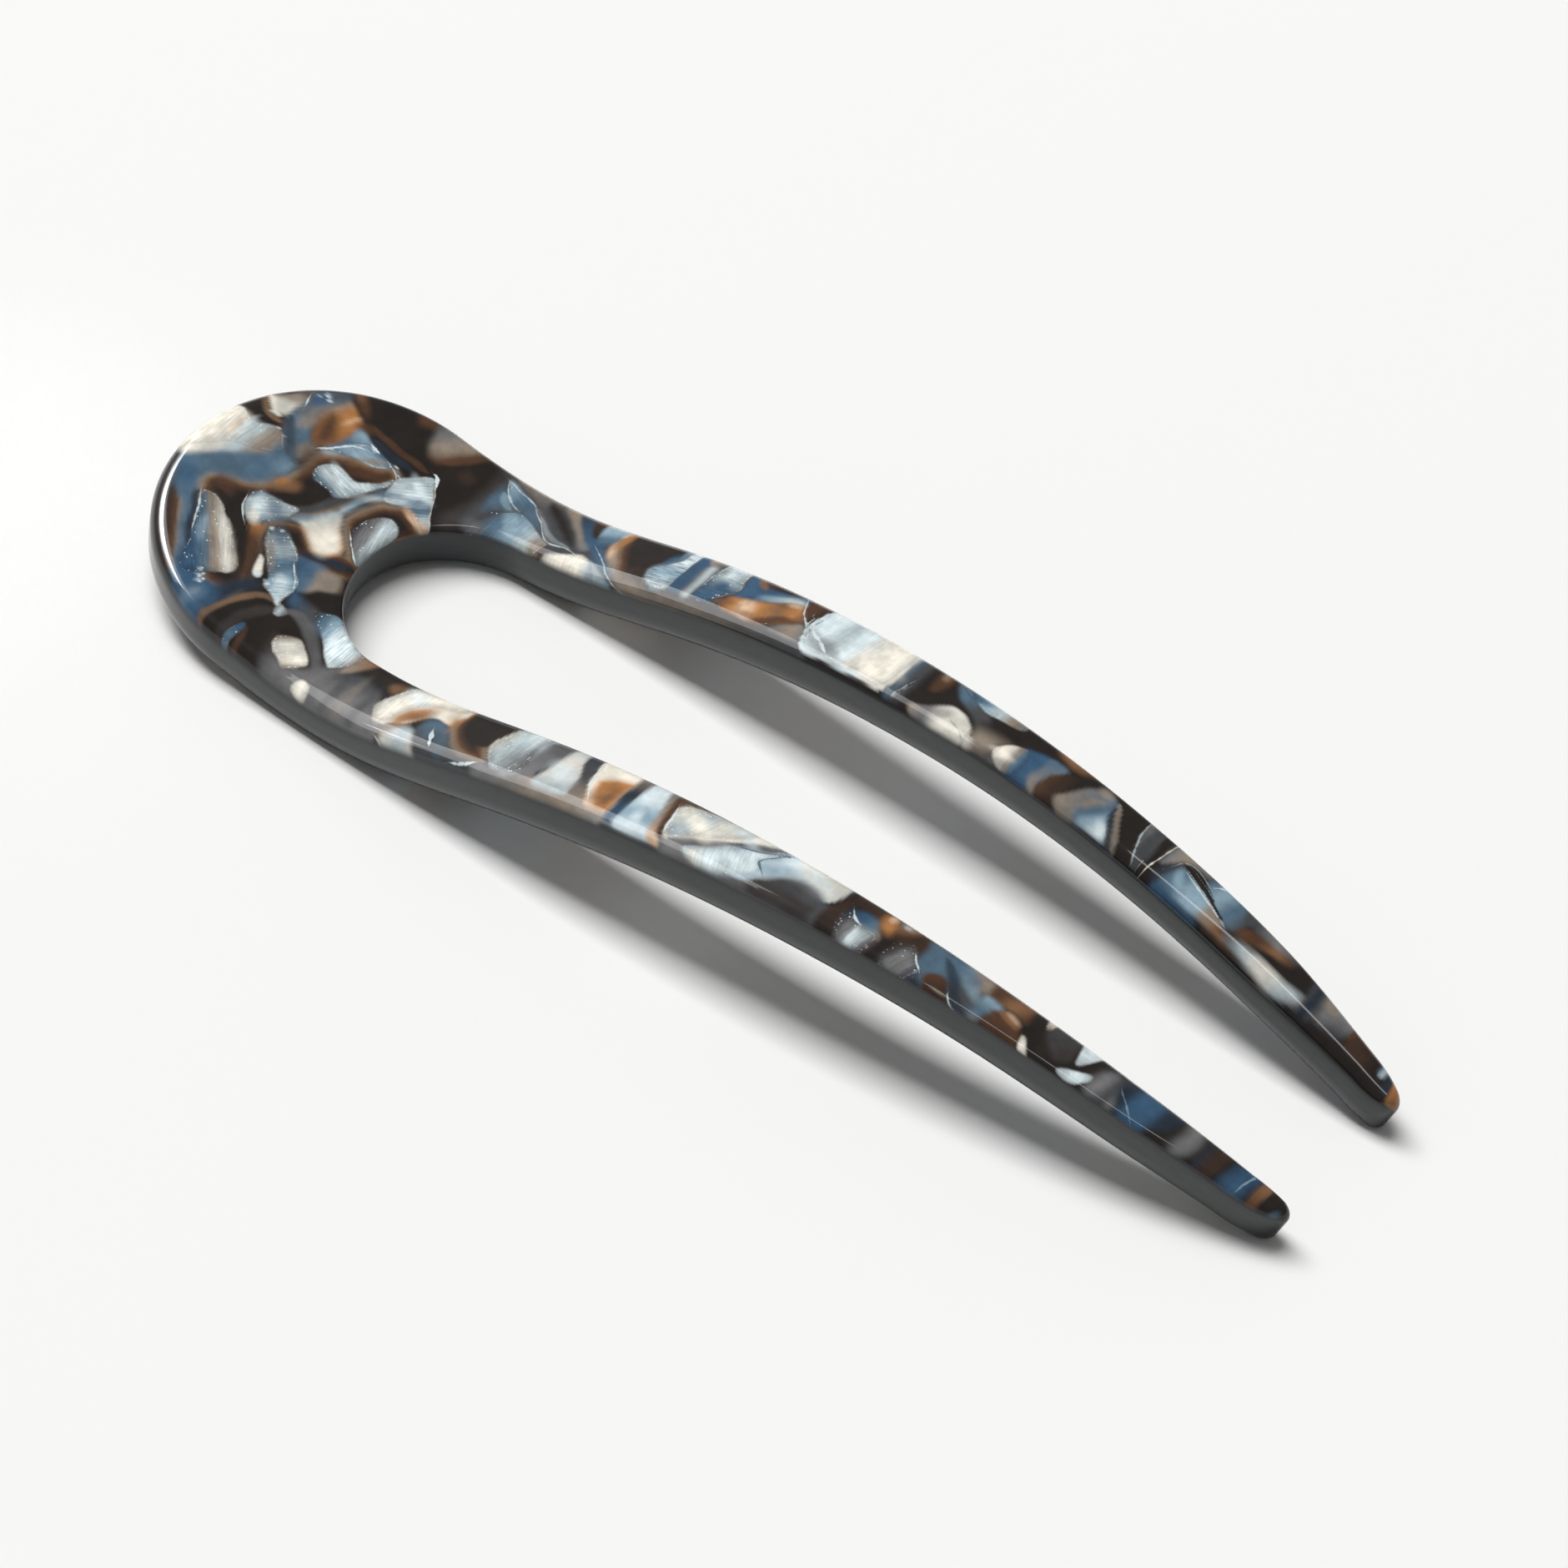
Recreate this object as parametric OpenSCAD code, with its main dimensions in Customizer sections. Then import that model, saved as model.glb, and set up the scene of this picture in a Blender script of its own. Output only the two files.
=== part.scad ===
// Hair pin of one bent sheet: a round head with an eye, and two prongs that arch and taper to round tips.
// Millimetres. X runs along the pin from the head to the tips, Y across it, Z up from the surface it lies on.

/* [Overall] */
// Length of the pin, measured along its bent middle line
pin_len = 115; // [105:1:130]
// Width of the head
head_w = 29; // [26:0.5:34]
// Thickness of the sheet
thick = 4.5; // [3.5:0.1:5.5]

/* [Head] */
// Length of the head's round end
head_len = 15.5; // [13:0.5:17]
// Distance from the head's end to the eye
eye_at = 18.8; // [15:0.2:22]
// Length of the eye's round end
eye_len = 9; // [7:0.5:11]

/* [Prongs] */
// Width of the gap at the eye
gap_w = 16.4; // [13:0.2:18]
// Length of each tip's round nose
nose_len = 4; // [2.5:0.5:6]
// How far each nose's middle line turns inward over its length
nose_in = 0.6; // [0:0.1:0.9]

/* [Side profile] */
// Angle that the heel behind the head turns upward
heel_bend = 31.5; // [20:0.5:40]
// Middle of the heel's bend, from the head's end
heel_at = 28; // [24:1:34]
// Length of the heel's bend
heel_len = 30; // [20:1:36]
// Angle that the arch turns the prongs down again
arch_bend = 42.5; // [32:0.5:50]
// Start of the arch, from the head's end
arch_at = 33; // [28:1:40]
// Share of the arch's bend that is gathered at its middle
arch_ease = 0.2; // [0:0.05:1]

/* [Edges] */
// Radius of the upper edges
edge_r = 1.2; // [0.6:0.1:1.4]
// Radius of the lower edges
under_r = 1.1; // [0.5:0.1:1.4]

/* [Hidden] */

// The sides from the end of each round to the noses. A row has the share of that run, then shares of
// half the head's width, half the gap's width, the outer upper edge's radius and the inner one's.
AT = 0;
OUTER = 1;
INNER = 2;
OUTER_EDGE = 3;
INNER_EDGE = 4;
sides = [
    [0,    1,     1,     1.3,  0.65],
    [0.15, 1.02,  1.025, 1.25, 1.15],
    [0.3,  1.015, 1.035, 1,    0.9],
    [0.45, 0.975, 1.015, 0.9,  0.85],
    [0.6,  0.91,  0.975, 0.75, 0.85],
    [0.75, 0.82,  0.895, 0.5,  1.15],
    [0.9,  0.715, 0.78,  0.5,  1.5],
    [1,    0.6,   0.72,  0.75, 1.3]
];

// Steps of the surface: round the head, along a prong, round a nose, round an edge, across a face
head_steps = 18;
prong_steps = 26;
nose_steps = 8;
edge_steps = 4;
face_steps = 4;
// Step along the bent middle line
bow_step = 0.5;
// The nose's last section is this many degrees short of a point
nose_stop = 5;
// Largest share of a section's width or height that one edge may take
edge_share = 0.45;

eye_end = eye_at + eye_len;
nose_at = pin_len - nose_len;
last_row = len(sides) - 1;

// Slope of one column at a row, from the rows beside it
function slope(col, i) =
    let (a = max(i - 1, 0), b = min(i + 1, last_row))
    (sides[b][col] - sides[a][col]) / (sides[b][AT] - sides[a][AT]);

// A column's value at share v of the run, on a smooth curve through the rows
function share(col, v) =
    let (
        s = min(max(v, 0), 1),
        i = max([for (n = [0 : last_row - 1]) if (n == 0 || sides[n][AT] <= s) n]),
        d = sides[i + 1][AT] - sides[i][AT],
        q = (s - sides[i][AT]) / d
    )
    (2 * q ^ 3 - 3 * q ^ 2 + 1) * sides[i][col]
        + (q ^ 3 - 2 * q ^ 2 + q) * d * slope(col, i)
        + (3 * q ^ 2 - 2 * q ^ 3) * sides[i + 1][col]
        + (q ^ 3 - q ^ 2) * d * slope(col, i + 1);

// Share of the run at distance u along the sheet, for the outer side and for the gap's side
function outer_run(u) = (u - head_len) / (nose_at - head_len);
function inner_run(u) = (u - eye_end) / (nose_at - eye_end);

// Half widths of the outline and of the gap
function outer_half(u) =
    head_w / 2 * (u < head_len ? sqrt(1 - (1 - u / head_len) ^ 2) : share(OUTER, outer_run(u)));
function inner_half(u) = gap_w / 2 * share(INNER, inner_run(u));

// A station: outer point, inner point, outer and inner upper radius, and how far it is inside the nose's end
function station(uo, yo, ui, yi, inside) =
    [
        [uo, yo], [ui, yi],
        edge_r * share(OUTER_EDGE, outer_run(uo)),
        edge_r * share(INNER_EDGE, inner_run(ui)),
        inside
    ];

function head_station(turn) =
    let (uo = eye_end * (1 - sin(turn)))
    station(
        uo, outer_half(uo),
        eye_end - eye_len * sin(turn), gap_w / 2 * cos(turn),
        pin_len
    );

function nose_station(turn) =
    let (
        u = nose_at + nose_len * sin(turn),
        mid = (outer_half(nose_at) + inner_half(nose_at)) / 2 - nose_in * sin(turn),
        half = (outer_half(nose_at) - inner_half(nose_at)) / 2 * cos(turn)
    )
    station(u, mid + half, u, mid - half, pin_len - u);

// Stations of one half, from the head's end to a tip
half_pin = concat(
    [for (i = [0 : head_steps - 1]) head_station(90 * (1 - i / head_steps))],
    [
        for (i = [0 : prong_steps - 1])
            let (u = eye_end + (nose_at - eye_end) * i / prong_steps)
            station(u, outer_half(u), u, inner_half(u), pin_len - u)
    ],
    [for (i = [0 : nose_steps]) nose_station((90 - nose_stop) * i / nose_steps)]
);

function mirrored(s) = [[s[0].x, -s[0].y], [s[1].x, -s[1].y], s[2], s[3], s[4]];

stations = concat(
    [for (i = [len(half_pin) - 1 : -1 : 1]) mirrored(half_pin[i])],
    half_pin
);

// How much an edge's round lowers the face at a distance inside the nose's end
function nose_drop(r, inside) = inside >= r ? 0 : r - sqrt(r ^ 2 - (r - inside) ^ 2);

// One section's points as [u, y, height in the sheet], round from the outer side over the top
function section(s) =
    let (
        w = norm(s[1] - s[0]),
        lo = nose_drop(under_r, s[4]),
        hi = thick - nose_drop(edge_r, s[4]),
        cap = edge_share * min(w, hi - lo),
        ro = min(s[2], cap),
        ri = min(s[3], cap),
        rb = min(under_r, cap),
        round_steps = [for (i = [0 : edge_steps]) 90 * i / edge_steps],
        across = [for (i = [1 : face_steps - 1]) i / face_steps],
        path = concat(
            [for (a = round_steps) [ro - ro * cos(a), hi - ro + ro * sin(a)]],
            [for (f = across) [ro + (w - ro - ri) * f, hi]],
            [for (a = round_steps) [w - ri + ri * sin(a), hi - ri + ri * cos(a)]],
            [for (a = round_steps) [w - rb + rb * cos(a), lo + rb - rb * sin(a)]],
            [for (f = across) [w - rb - (w - 2 * rb) * f, lo]],
            [for (a = round_steps) [rb - rb * sin(a), lo + rb - rb * cos(a)]]
        )
    )
    [
        for (p = path)
            let (q = s[0] + (s[1] - s[0]) * p.x / w)
            [q.x, q.y, p.y]
    ];

// The bent middle line: its angle at u, then its points
function ease(v) =
    let (c = min(max(v, 0), 1))
    c ^ 2 * (3 - 2 * c);
function arch_turn(v) =
    let (c = min(max(v, 0), 1))
    (1 - arch_ease) * c + arch_ease * ease(c);
function bow_angle(u) =
    heel_bend * ease((u - heel_at) / heel_len + 0.5)
        - arch_bend * arch_turn((u - arch_at) / (pin_len - arch_at));
bow = [
    for (
        i = 0, x = 0, z = 0;
        i <= ceil(pin_len / bow_step);
        x = x + bow_step * cos(bow_angle((i + 0.5) * bow_step)),
        z = z + bow_step * sin(bow_angle((i + 0.5) * bow_step)),
        i = i + 1
    )
        [x, z]
];

function bow_at(u) =
    let (
        i = min(floor(u / bow_step), len(bow) - 2),
        f = u / bow_step - i
    )
    bow[i] * (1 - f) + bow[i + 1] * f;

function bent(p) =
    let (
        b = bow_at(p.x),
        a = bow_angle(p.x)
    )
    [b.x - p.z * sin(a), p.y, b.y + p.z * cos(a)];

// The lowest point of a tip, and the tilt at which the heel touches the same surface
tip = bent([pin_len - under_r, 0, under_r]) - [0, 0, under_r];
tilt = max([
    for (i = [0 : floor(pin_len / bow_step / 2)])
        atan2(tip.z - bow[i].y, tip.x - bow[i].x)
]);

function levelled(p) = [p.x * cos(tilt) + p.z * sin(tilt), p.y, p.z * cos(tilt) - p.x * sin(tilt)];

surface = [
    for (s = stations, p = section(s))
        levelled(bent(p))
];
ring = len(section(stations[0]));
x_mid = (min([for (p = surface) p.x]) + max([for (p = surface) p.x])) / 2;
z_low = min([for (p = surface) p.z]);

function corner(i, j) = i * ring + j % ring;

module pin() {
    last = len(stations) - 1;
    walls = [
        for (i = [0 : last - 1], j = [0 : ring - 1], upper = [0, 1])
            upper == 0
                ? [corner(i, j), corner(i, j + 1), corner(i + 1, j + 1)]
                : [corner(i, j), corner(i + 1, j + 1), corner(i + 1, j)]
    ];
    ends = [
        [for (j = [ring - 1 : -1 : 0]) corner(0, j)],
        [for (j = [0 : ring - 1]) corner(last, j)]
    ];
    color([0.3, 0.27, 0.25])
        polyhedron(
            points = [for (p = surface) p - [x_mid, 0, z_low]],
            faces = concat(walls, ends),
            convexity = 6
        );
}

pin();
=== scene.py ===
import bpy
import math
import numpy as np
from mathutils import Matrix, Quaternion, Vector


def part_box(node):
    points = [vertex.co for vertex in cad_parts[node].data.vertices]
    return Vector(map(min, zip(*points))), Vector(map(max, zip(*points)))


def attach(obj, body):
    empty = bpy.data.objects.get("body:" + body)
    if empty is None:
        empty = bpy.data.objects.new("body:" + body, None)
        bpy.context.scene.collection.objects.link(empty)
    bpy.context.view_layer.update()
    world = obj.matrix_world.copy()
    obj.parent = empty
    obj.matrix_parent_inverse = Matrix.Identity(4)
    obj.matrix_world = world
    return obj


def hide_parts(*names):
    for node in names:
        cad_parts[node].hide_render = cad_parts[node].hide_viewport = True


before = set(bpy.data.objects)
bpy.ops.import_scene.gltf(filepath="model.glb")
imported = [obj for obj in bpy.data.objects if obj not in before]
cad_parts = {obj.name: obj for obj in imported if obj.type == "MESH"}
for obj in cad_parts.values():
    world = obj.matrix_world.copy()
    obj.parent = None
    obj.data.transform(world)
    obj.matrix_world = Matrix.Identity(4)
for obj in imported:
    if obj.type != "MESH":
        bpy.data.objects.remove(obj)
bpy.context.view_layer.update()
print("frame loaded, CAD box kept")

mm = 0.001
tiny = 1e-9  # keeps a divisor above zero

# the pin's sizes in millimetres and degrees, as the solid has them
pin = {
    "length": 115.0, "headWidth": 29.0, "thickness": 4.5,
    "headLength": 15.5, "eyeAt": 18.8, "eyeLength": 9.0,
    "gapWidth": 16.4, "noseLength": 4.0, "noseIn": 0.6,
    "heelBend": 31.5, "heelAt": 28.0, "heelLength": 30.0,
    "archBend": 42.5, "archAt": 33.0, "archEase": 0.2,
    "edgeRadius": 1.2, "underRadius": 1.1,
    # share of the run, outer width, gap width, outer edge, inner edge
    "sides": [
        (0, 1, 1, 1.3, 0.65), (0.15, 1.02, 1.025, 1.25, 1.15),
        (0.3, 1.015, 1.035, 1, 0.9), (0.45, 0.975, 1.015, 0.9, 0.85),
        (0.6, 0.91, 0.975, 0.75, 0.85), (0.75, 0.82, 0.895, 0.5, 1.15),
        (0.9, 0.715, 0.78, 0.5, 1.5), (1, 0.6, 0.72, 0.75, 1.3),
    ],
    # how finely the blank is cut
    "headSteps": 150, "prongSteps": 330, "noseSteps": 26,
    "topSteps": 54, "edgeSteps": 7, "wallSteps": 3, "underSteps": 10, "underEdgeSteps": 3,
    "noseStop": 5.0, "edgeShare": 0.45, "bowStep": 0.1,
}
eyeEnd = pin["eyeAt"] + pin["eyeLength"]
noseAt = pin["length"] - pin["noseLength"]
sideRows = np.array(pin["sides"], float)


def sideShare(column, v):
    # smooth curve through one column of the side rows
    at, values = sideRows[:, 0], sideRows[:, column]
    v = np.clip(v, 0, 1)
    i = np.clip(np.searchsorted(at, v, side="right") - 1, 0, len(at) - 2)
    slopes = np.empty(len(at))
    slopes[1:-1] = (values[2:] - values[:-2]) / (at[2:] - at[:-2])
    slopes[0] = (values[1] - values[0]) / (at[1] - at[0])
    slopes[-1] = (values[-1] - values[-2]) / (at[-1] - at[-2])
    d = at[i + 1] - at[i]
    q = (v - at[i]) / d
    return (
        (2 * q**3 - 3 * q**2 + 1) * values[i] + (q**3 - 2 * q**2 + q) * d * slopes[i]
        + (3 * q**2 - 2 * q**3) * values[i + 1] + (q**3 - q**2) * d * slopes[i + 1]
    )


def outerRun(u):
    return (u - pin["headLength"]) / (noseAt - pin["headLength"])


def innerRun(u):
    return (u - eyeEnd) / (noseAt - eyeEnd)


def outerHalf(u):
    u = np.asarray(u, float)
    inHead = np.sqrt(np.maximum(0, 1 - (1 - u / pin["headLength"]) ** 2))
    return pin["headWidth"] / 2 * np.where(u < pin["headLength"], inHead, sideShare(1, outerRun(u)))


def innerHalf(u):
    return pin["gapWidth"] / 2 * sideShare(2, innerRun(np.asarray(u, float)))


def easeStep(v):
    v = np.clip(v, 0, 1)
    return v * v * (3 - 2 * v)


def bowAngle(u):
    v = np.clip((u - pin["archAt"]) / (pin["length"] - pin["archAt"]), 0, 1)
    turned = (1 - pin["archEase"]) * v + pin["archEase"] * easeStep(v)
    heel = easeStep((u - pin["heelAt"]) / pin["heelLength"] + 0.5)
    return np.radians(pin["heelBend"] * heel - pin["archBend"] * turned)


def stationTable():
    # one half of the pin from the head's end to a tip, then mirrored:
    # outer u and y, inner u and y, both upper radii, distance inside the nose's end
    turn = np.radians(90 * (1 - np.arange(pin["headSteps"]) / pin["headSteps"]))
    uo = eyeEnd * (1 - np.sin(turn))
    head = np.stack([uo, outerHalf(uo), eyeEnd - pin["eyeLength"] * np.sin(turn),
                     pin["gapWidth"] / 2 * np.cos(turn), np.full_like(uo, pin["length"])], 1)
    u = eyeEnd + (noseAt - eyeEnd) * np.arange(pin["prongSteps"]) / pin["prongSteps"]
    prong = np.stack([u, outerHalf(u), u, innerHalf(u), pin["length"] - u], 1)
    turn = np.radians((90 - pin["noseStop"]) * np.arange(pin["noseSteps"] + 1) / pin["noseSteps"])
    u = noseAt + pin["noseLength"] * np.sin(turn)
    mid = (outerHalf(noseAt) + innerHalf(noseAt)) / 2 - pin["noseIn"] * np.sin(turn)
    half = (outerHalf(noseAt) - innerHalf(noseAt)) / 2 * np.cos(turn)
    nose = np.stack([u, mid + half, u, mid - half, pin["length"] - u], 1)
    rows = np.vstack([head, prong, nose])
    ro = pin["edgeRadius"] * sideShare(3, outerRun(rows[:, 0]))
    ri = pin["edgeRadius"] * sideShare(4, innerRun(rows[:, 2]))
    rows = np.column_stack([rows[:, :4], ro, ri, rows[:, 4]])
    near = rows[:0:-1] * np.array([1, -1, 1, -1, 1, 1, 1])
    return np.vstack([near, rows])


def noseDrop(radius, inside):
    a = np.maximum(radius - inside, 0)
    return radius - np.sqrt(radius**2 - a**2)


def ringPaths(rows):
    # for every station the ring's points: distance in from the outer side, height,
    # unrolled distance (arcs laid flat), and rim: 0 top, 1 wall begins, 2 wall ends, 3 underside
    uo, yo, ui, yi, ro, ri, inside = rows.T
    w = np.hypot(ui - uo, yi - yo)
    lo = noseDrop(pin["underRadius"], inside)
    hi = pin["thickness"] - noseDrop(pin["edgeRadius"], inside)
    cap = pin["edgeShare"] * np.minimum(w, hi - lo)
    ro, ri, rb = np.minimum(ro, cap), np.minimum(ri, cap), np.minimum(pin["underRadius"], cap)
    quarter = np.pi / 2
    cols = []

    def add(*values):
        cols.append(np.stack([v + 0 * w for v in values], -1))

    def arc(steps):
        return np.radians(np.linspace(0, 90, steps + 1))

    def between(steps):
        return np.linspace(0, 1, steps + 1)[1:-1]

    for a in arc(pin["edgeSteps"]):  # outer upper edge
        add(ro - ro * np.cos(a), hi - ro + ro * np.sin(a), ro - ro * (quarter - a), 1 - a / quarter)
    for f in between(pin["topSteps"]):  # top
        s = ro + (w - ro - ri) * f
        add(s, hi, s, 0)
    for a in arc(pin["edgeSteps"]):  # inner upper edge
        add(w - ri + ri * np.sin(a), hi - ri + ri * np.cos(a), w - ri + ri * a, a / quarter)
    for f in between(pin["wallSteps"]):  # inner wall
        h = (hi - ri) * (1 - f) + (lo + rb) * f
        add(w, h, w - ri + ri * quarter + hi - ri - h, 1 + f)
    for a in arc(pin["underEdgeSteps"]):  # inner lower edge
        add(w - rb + rb * np.cos(a), lo + rb - rb * np.sin(a), w, 2 + a / quarter)
    for f in between(pin["underSteps"]):  # underside
        s = w - rb - (w - 2 * rb) * f
        add(s, lo, s, 3)
    for a in arc(pin["underEdgeSteps"]):  # outer lower edge
        add(rb - rb * np.sin(a), lo + rb - rb * np.cos(a), 0, 3 - a / quarter)
    for f in between(pin["wallSteps"]):  # outer wall
        h = (lo + rb) * (1 - f) + (hi - ro) * f
        add(0, h, ro - ro * quarter - (hi - ro - h), 2 - f)
    path = np.stack(cols, 1)
    direction = np.stack([(ui - uo) / w, (yi - yo) / w], -1)
    start = np.stack([uo, yo], -1)
    flat = start[:, None] + direction[:, None] * path[..., :1]
    unrolled = start[:, None] + direction[:, None] * path[..., 2:3]
    return flat, path[..., 1], unrolled, path[..., 3]


flat, height, unrolled, rim = ringPaths(stationTable())
nStations, nRing = height.shape
print("stations", nStations, "ring", nRing)

# colours of the sheet, as a screen shows them
palette = {
    "night": "231e1b", "bark": "392a22", "umber": "513828", "tan": "78604a", "caramel": "7d5b40",
    "amber": "a87343", "peach": "cfae90", "cream": "ece6d7", "pearl": "cfccc2", "taupe": "8b7f72",
    "smoke": "6f6f70", "slate": "434446", "ash": "383432", "silver": "a9b5b8", "frost": "d5e2e5",
    "mist": "8aa3b1", "steel": "4f6779", "denim": "36546f", "navy": "242d38",
}

# Marbling chart. A row has its kind, its colours from end to end, and its numbers in millimetres and degrees.
# After the colon stands its outline or path, as the first place and the step to each next one, or its spots,
# in tenths of a millimetre of the flat sheet: u from the head's end, y across.
# An indented line goes on with the row above. Later rows lie over earlier ones.
# wash: soft patch (feather, axis); pool: dark patch in a lighter border (border width);
# flakeA and flakeB: sharp pearl chips in two layers (feather, fray, glint, streak, axis);
# veil: soft patch over the chips (feather, strength); dab: soft spots (two radii, strength, axis);
# band: soft streak, and line: thin line along a chip's edge, a painted highlight glint where pale and a dark
# seam where dark (half width, strength). An axis of 0 is left out.
# The pearl chips' silver, frost, cream and pearl tones are partly their own colour and partly painted sheen:
# how brightly each chip catches the light is painted into its colours.

# the head's soft ground
chart = """
wash steel .6: 12,-30 -8,20 0,30 26,20 30,-4 16,-10 10,-2 4,-16 -6,-12 -10,-13 -18,-6 -10,-9 -1,-13 6,-11
 11,-16 12,-18 14,-22 7,-12 -9,-4 -10,16 -17,24 -13,16 -14,9 -12,17
dab mist 1.3 .7 .7 70: 77,14
dab denim 1.7 .9 .8 -40: 30,-46 66,2
dab slate 1.3 .7 .5 -40: 52,-12
wash slate/steel/smoke/steel .45 90: 32,75 13,15 15,14 10,3 -3,-17 -4,-10 1,-12 4,-10 8,-6 8,-7 2,-13 -6,-9
 -18,5 -8,10 -6,6 -2,12 0,14
dab denim 1.4 .8 .9 60: 53,85
dab slate 1.2 .7 .8 50: 62,101
dab taupe 1.5 .7 .7 70: 62,64 80,39
wash umber/taupe/pearl/pearl .3 -70: 20,60 9,10 10,11 6,6 2,-13 -1,-12 0,-10 -11,-1 -9,5
band navy .75 .65: 46,58 6,-8 10,-9 9,-10 11,-9
pool umber/bark/night .7: 4,32 10,26 10,0 10,-10 9,1 8,-4 1,-9 -12,-6 -10,-4 -14,2
band tan .45 .9: 19,57 9,-7 8,-5 12,0
wash taupe/amber/amber/caramel .35 -20: 70,103 9,-4 10,-5 9,-4 0,-12 -3,-14 -5,-10 -10,-6 -7,7 -5,11 -4,12
 0,8 4,6
wash umber .7: 68,82 8,2 6,-9 6,-12 -1,-10 -8,-4 -7,9 -4,11
dab peach 1 .3 .55 75: 86,87
wash mist/steel/mist .3 90: 96,90 7,-3 8,-6 31,-4 0,-13 -52,-20 0,12 5,16
wash caramel/umber/bark .4 -30: 69,113 7,3 8,-6 12,-12 -10,1 -10,6
band umber .5 .75: 101,97 13,-4 16,0 22,0 14,0
band navy .55 .95: 106,86 14,-2 16,0 18,1
wash umber .5: 112,148 28,0 -2,-18 -12,-6 -6,6
wash umber/smoke/taupe/umber .5 -45: 136,150 47,0 -3,-22 -10,-13 -7,-9 -8,-2 -9,10 -6,11
band umber .7 .95: 162,108 10,10 10,10 10,18
dab bark .9 .7 .8: 190,111
wash ash .7: 206,150 18,0 4,-50 2,-14 -4,-24 -17,-6 -7,14 10,24 -2,26
"""
# the head's dark pools with lighter borders
chart += """
pool taupe/tan/umber/bark/night 1.3: 91,46 9,8 10,7.5 13,2 9,5.5 8,8 10,-3 5,-8 -9,-14 -4,-18 -3,-14 -3,-12
 -8,-14 -7,-10 -11,-14 -1,-14 9,-10 7,-12 9,-14 6,-14 -4,-20 -22,-2 -12,7 -20,15 -22,30 -11,12 -7,10 2,11
 10,8 16,4 8,8 8,10 4,11 0,16 -2,12
dab caramel 1.5 .8 .9 30: 92,2
dab amber .7 .35 .5 60: 89,3
dab caramel 1.6 .35 .7 30: 126,61 164,46
dab umber 1.9 .7 .9 35: 129,56 176,47
dab umber 2 1 .6 -50: 59,-33 90,34
band bark .6 .9: 115,-55 8,-12 10,-15 7,-14
band night .9 .9: 56,-40 16,-3 18,-9 20,-18 14,-16
wash night .5: 99,24 11,-5 16,-1 2,-10 -12,-6 -12,7
pool taupe/tan/umber/bark/night 1.2: 150,23 6,13 7,9 10,7 11,1 10,-3 7,-6 8,2 -5,-10 -8,-10 -3,-16 -1,-18
 1,-14 -10,1 -10,9 -10,8 -9,8 -6,9
wash night .4: 159,16 8,14 11,7 12,-1 2,-26 0,-28 -8,2 -18,16
pool tan/umber/bark/night 1: 108,-39 7,10 11,7 8,2 10,-5 8,-5 8,2 9,7 9,5 15,-2 3,-14 -12,-5 -14,-4 -16,-5
 -18,2 -16,-2
band navy .55 .9: 144,-40 16,4 14,7 19,7
band slate .62 .95: 152,70 -5,-16 -8,-17 -5,-16 -8,-18 -8,-11 -8,-14
wash silver/mist/silver/mist .3 90: 143,7 2,13 4,16 8,11 13,7 0,6 -14,0 -7,-14 -7,-18 -3,-14
wash peach .35: 130,-20 12,-6 11,-6 10,4 8,8 -3,8 -8,6 -8,7 -6,7
wash silver/pearl/cream/cream .3 -40: 137,10 6,2 6,-6 4,-7 6,-7 7,-7 1,-5 -5,-5 -7,-4 -6,2 -7,4 -8,4 -8,1
 -7,-2 5,9 8,10
dab cream 1.6 .9 .9 -45: 151,-19
dab steel 1.4 .5 .7 50: 124,-13
dab amber 1.3 .6 .9 -40: 105,-46
dab umber 1.3 .7 .8 -40: 115,-56
wash denim/steel .35: 147,-43 15,4 13,3 5,-6 -4,-12 -3,-18 -7,6 -10,11 -6,6
wash steel/taupe/taupe/bark .4 20: 169,-41 15,6 12,-1 8,-9 -10,-6 -7,-7 -7,-7 -7,-5 -3,14
wash night .4: 183,-59 9,6 14,3 14,-10 -10,-10 -15,-1 -13,1
wash denim/slate/steel .5: 169,-70 17,-3 14,1 14,-10 10,-10 -19,3 -15,4 -14,1
band smoke .75 .55: 174,-94 12,7 14,-1 18,-10 16,-12 16,-14
band navy .5 .9: 46,-50 11,-16 12,-18 11,-16
wash night/night/bark/umber/taupe .35 38: 29,-66 7,1 10,-3 10,-13 12,-16 11,-15 8,-11 -6,-5 -15,14 -15,14
 -16,18
wash denim/denim/navy/navy .5 65: 83,-112 19,6 8,-8 14,4 8,20 10,7 8,-4 -8,-13 -6,-18 -4,-16 -3,-22 -20,10
 -17,16
dab mist 1.1 .8 .85 60: 114,-129
dab frost .5 .4 .6 60: 114,-128
band tan .5 .85: 172,-89 -13,-1 -11,-8 -8,-16 -5,-18 -3,-24
band ash .8 .9: 176,-92 -12,-11 -7,-17 -3,-36
band umber .4 .7: 168,-122 5,-14 -1,-20
wash ash/smoke/smoke .7 -50: 190,-112 16,-12 14,-6 14,6 8,10 12,6 16,10 18,6 0,-78 -74,0 -16,32
wash peach/caramel/umber .35: 259,-80 35,0 -8,-10 -12,-8 -10,-8
"""
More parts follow.
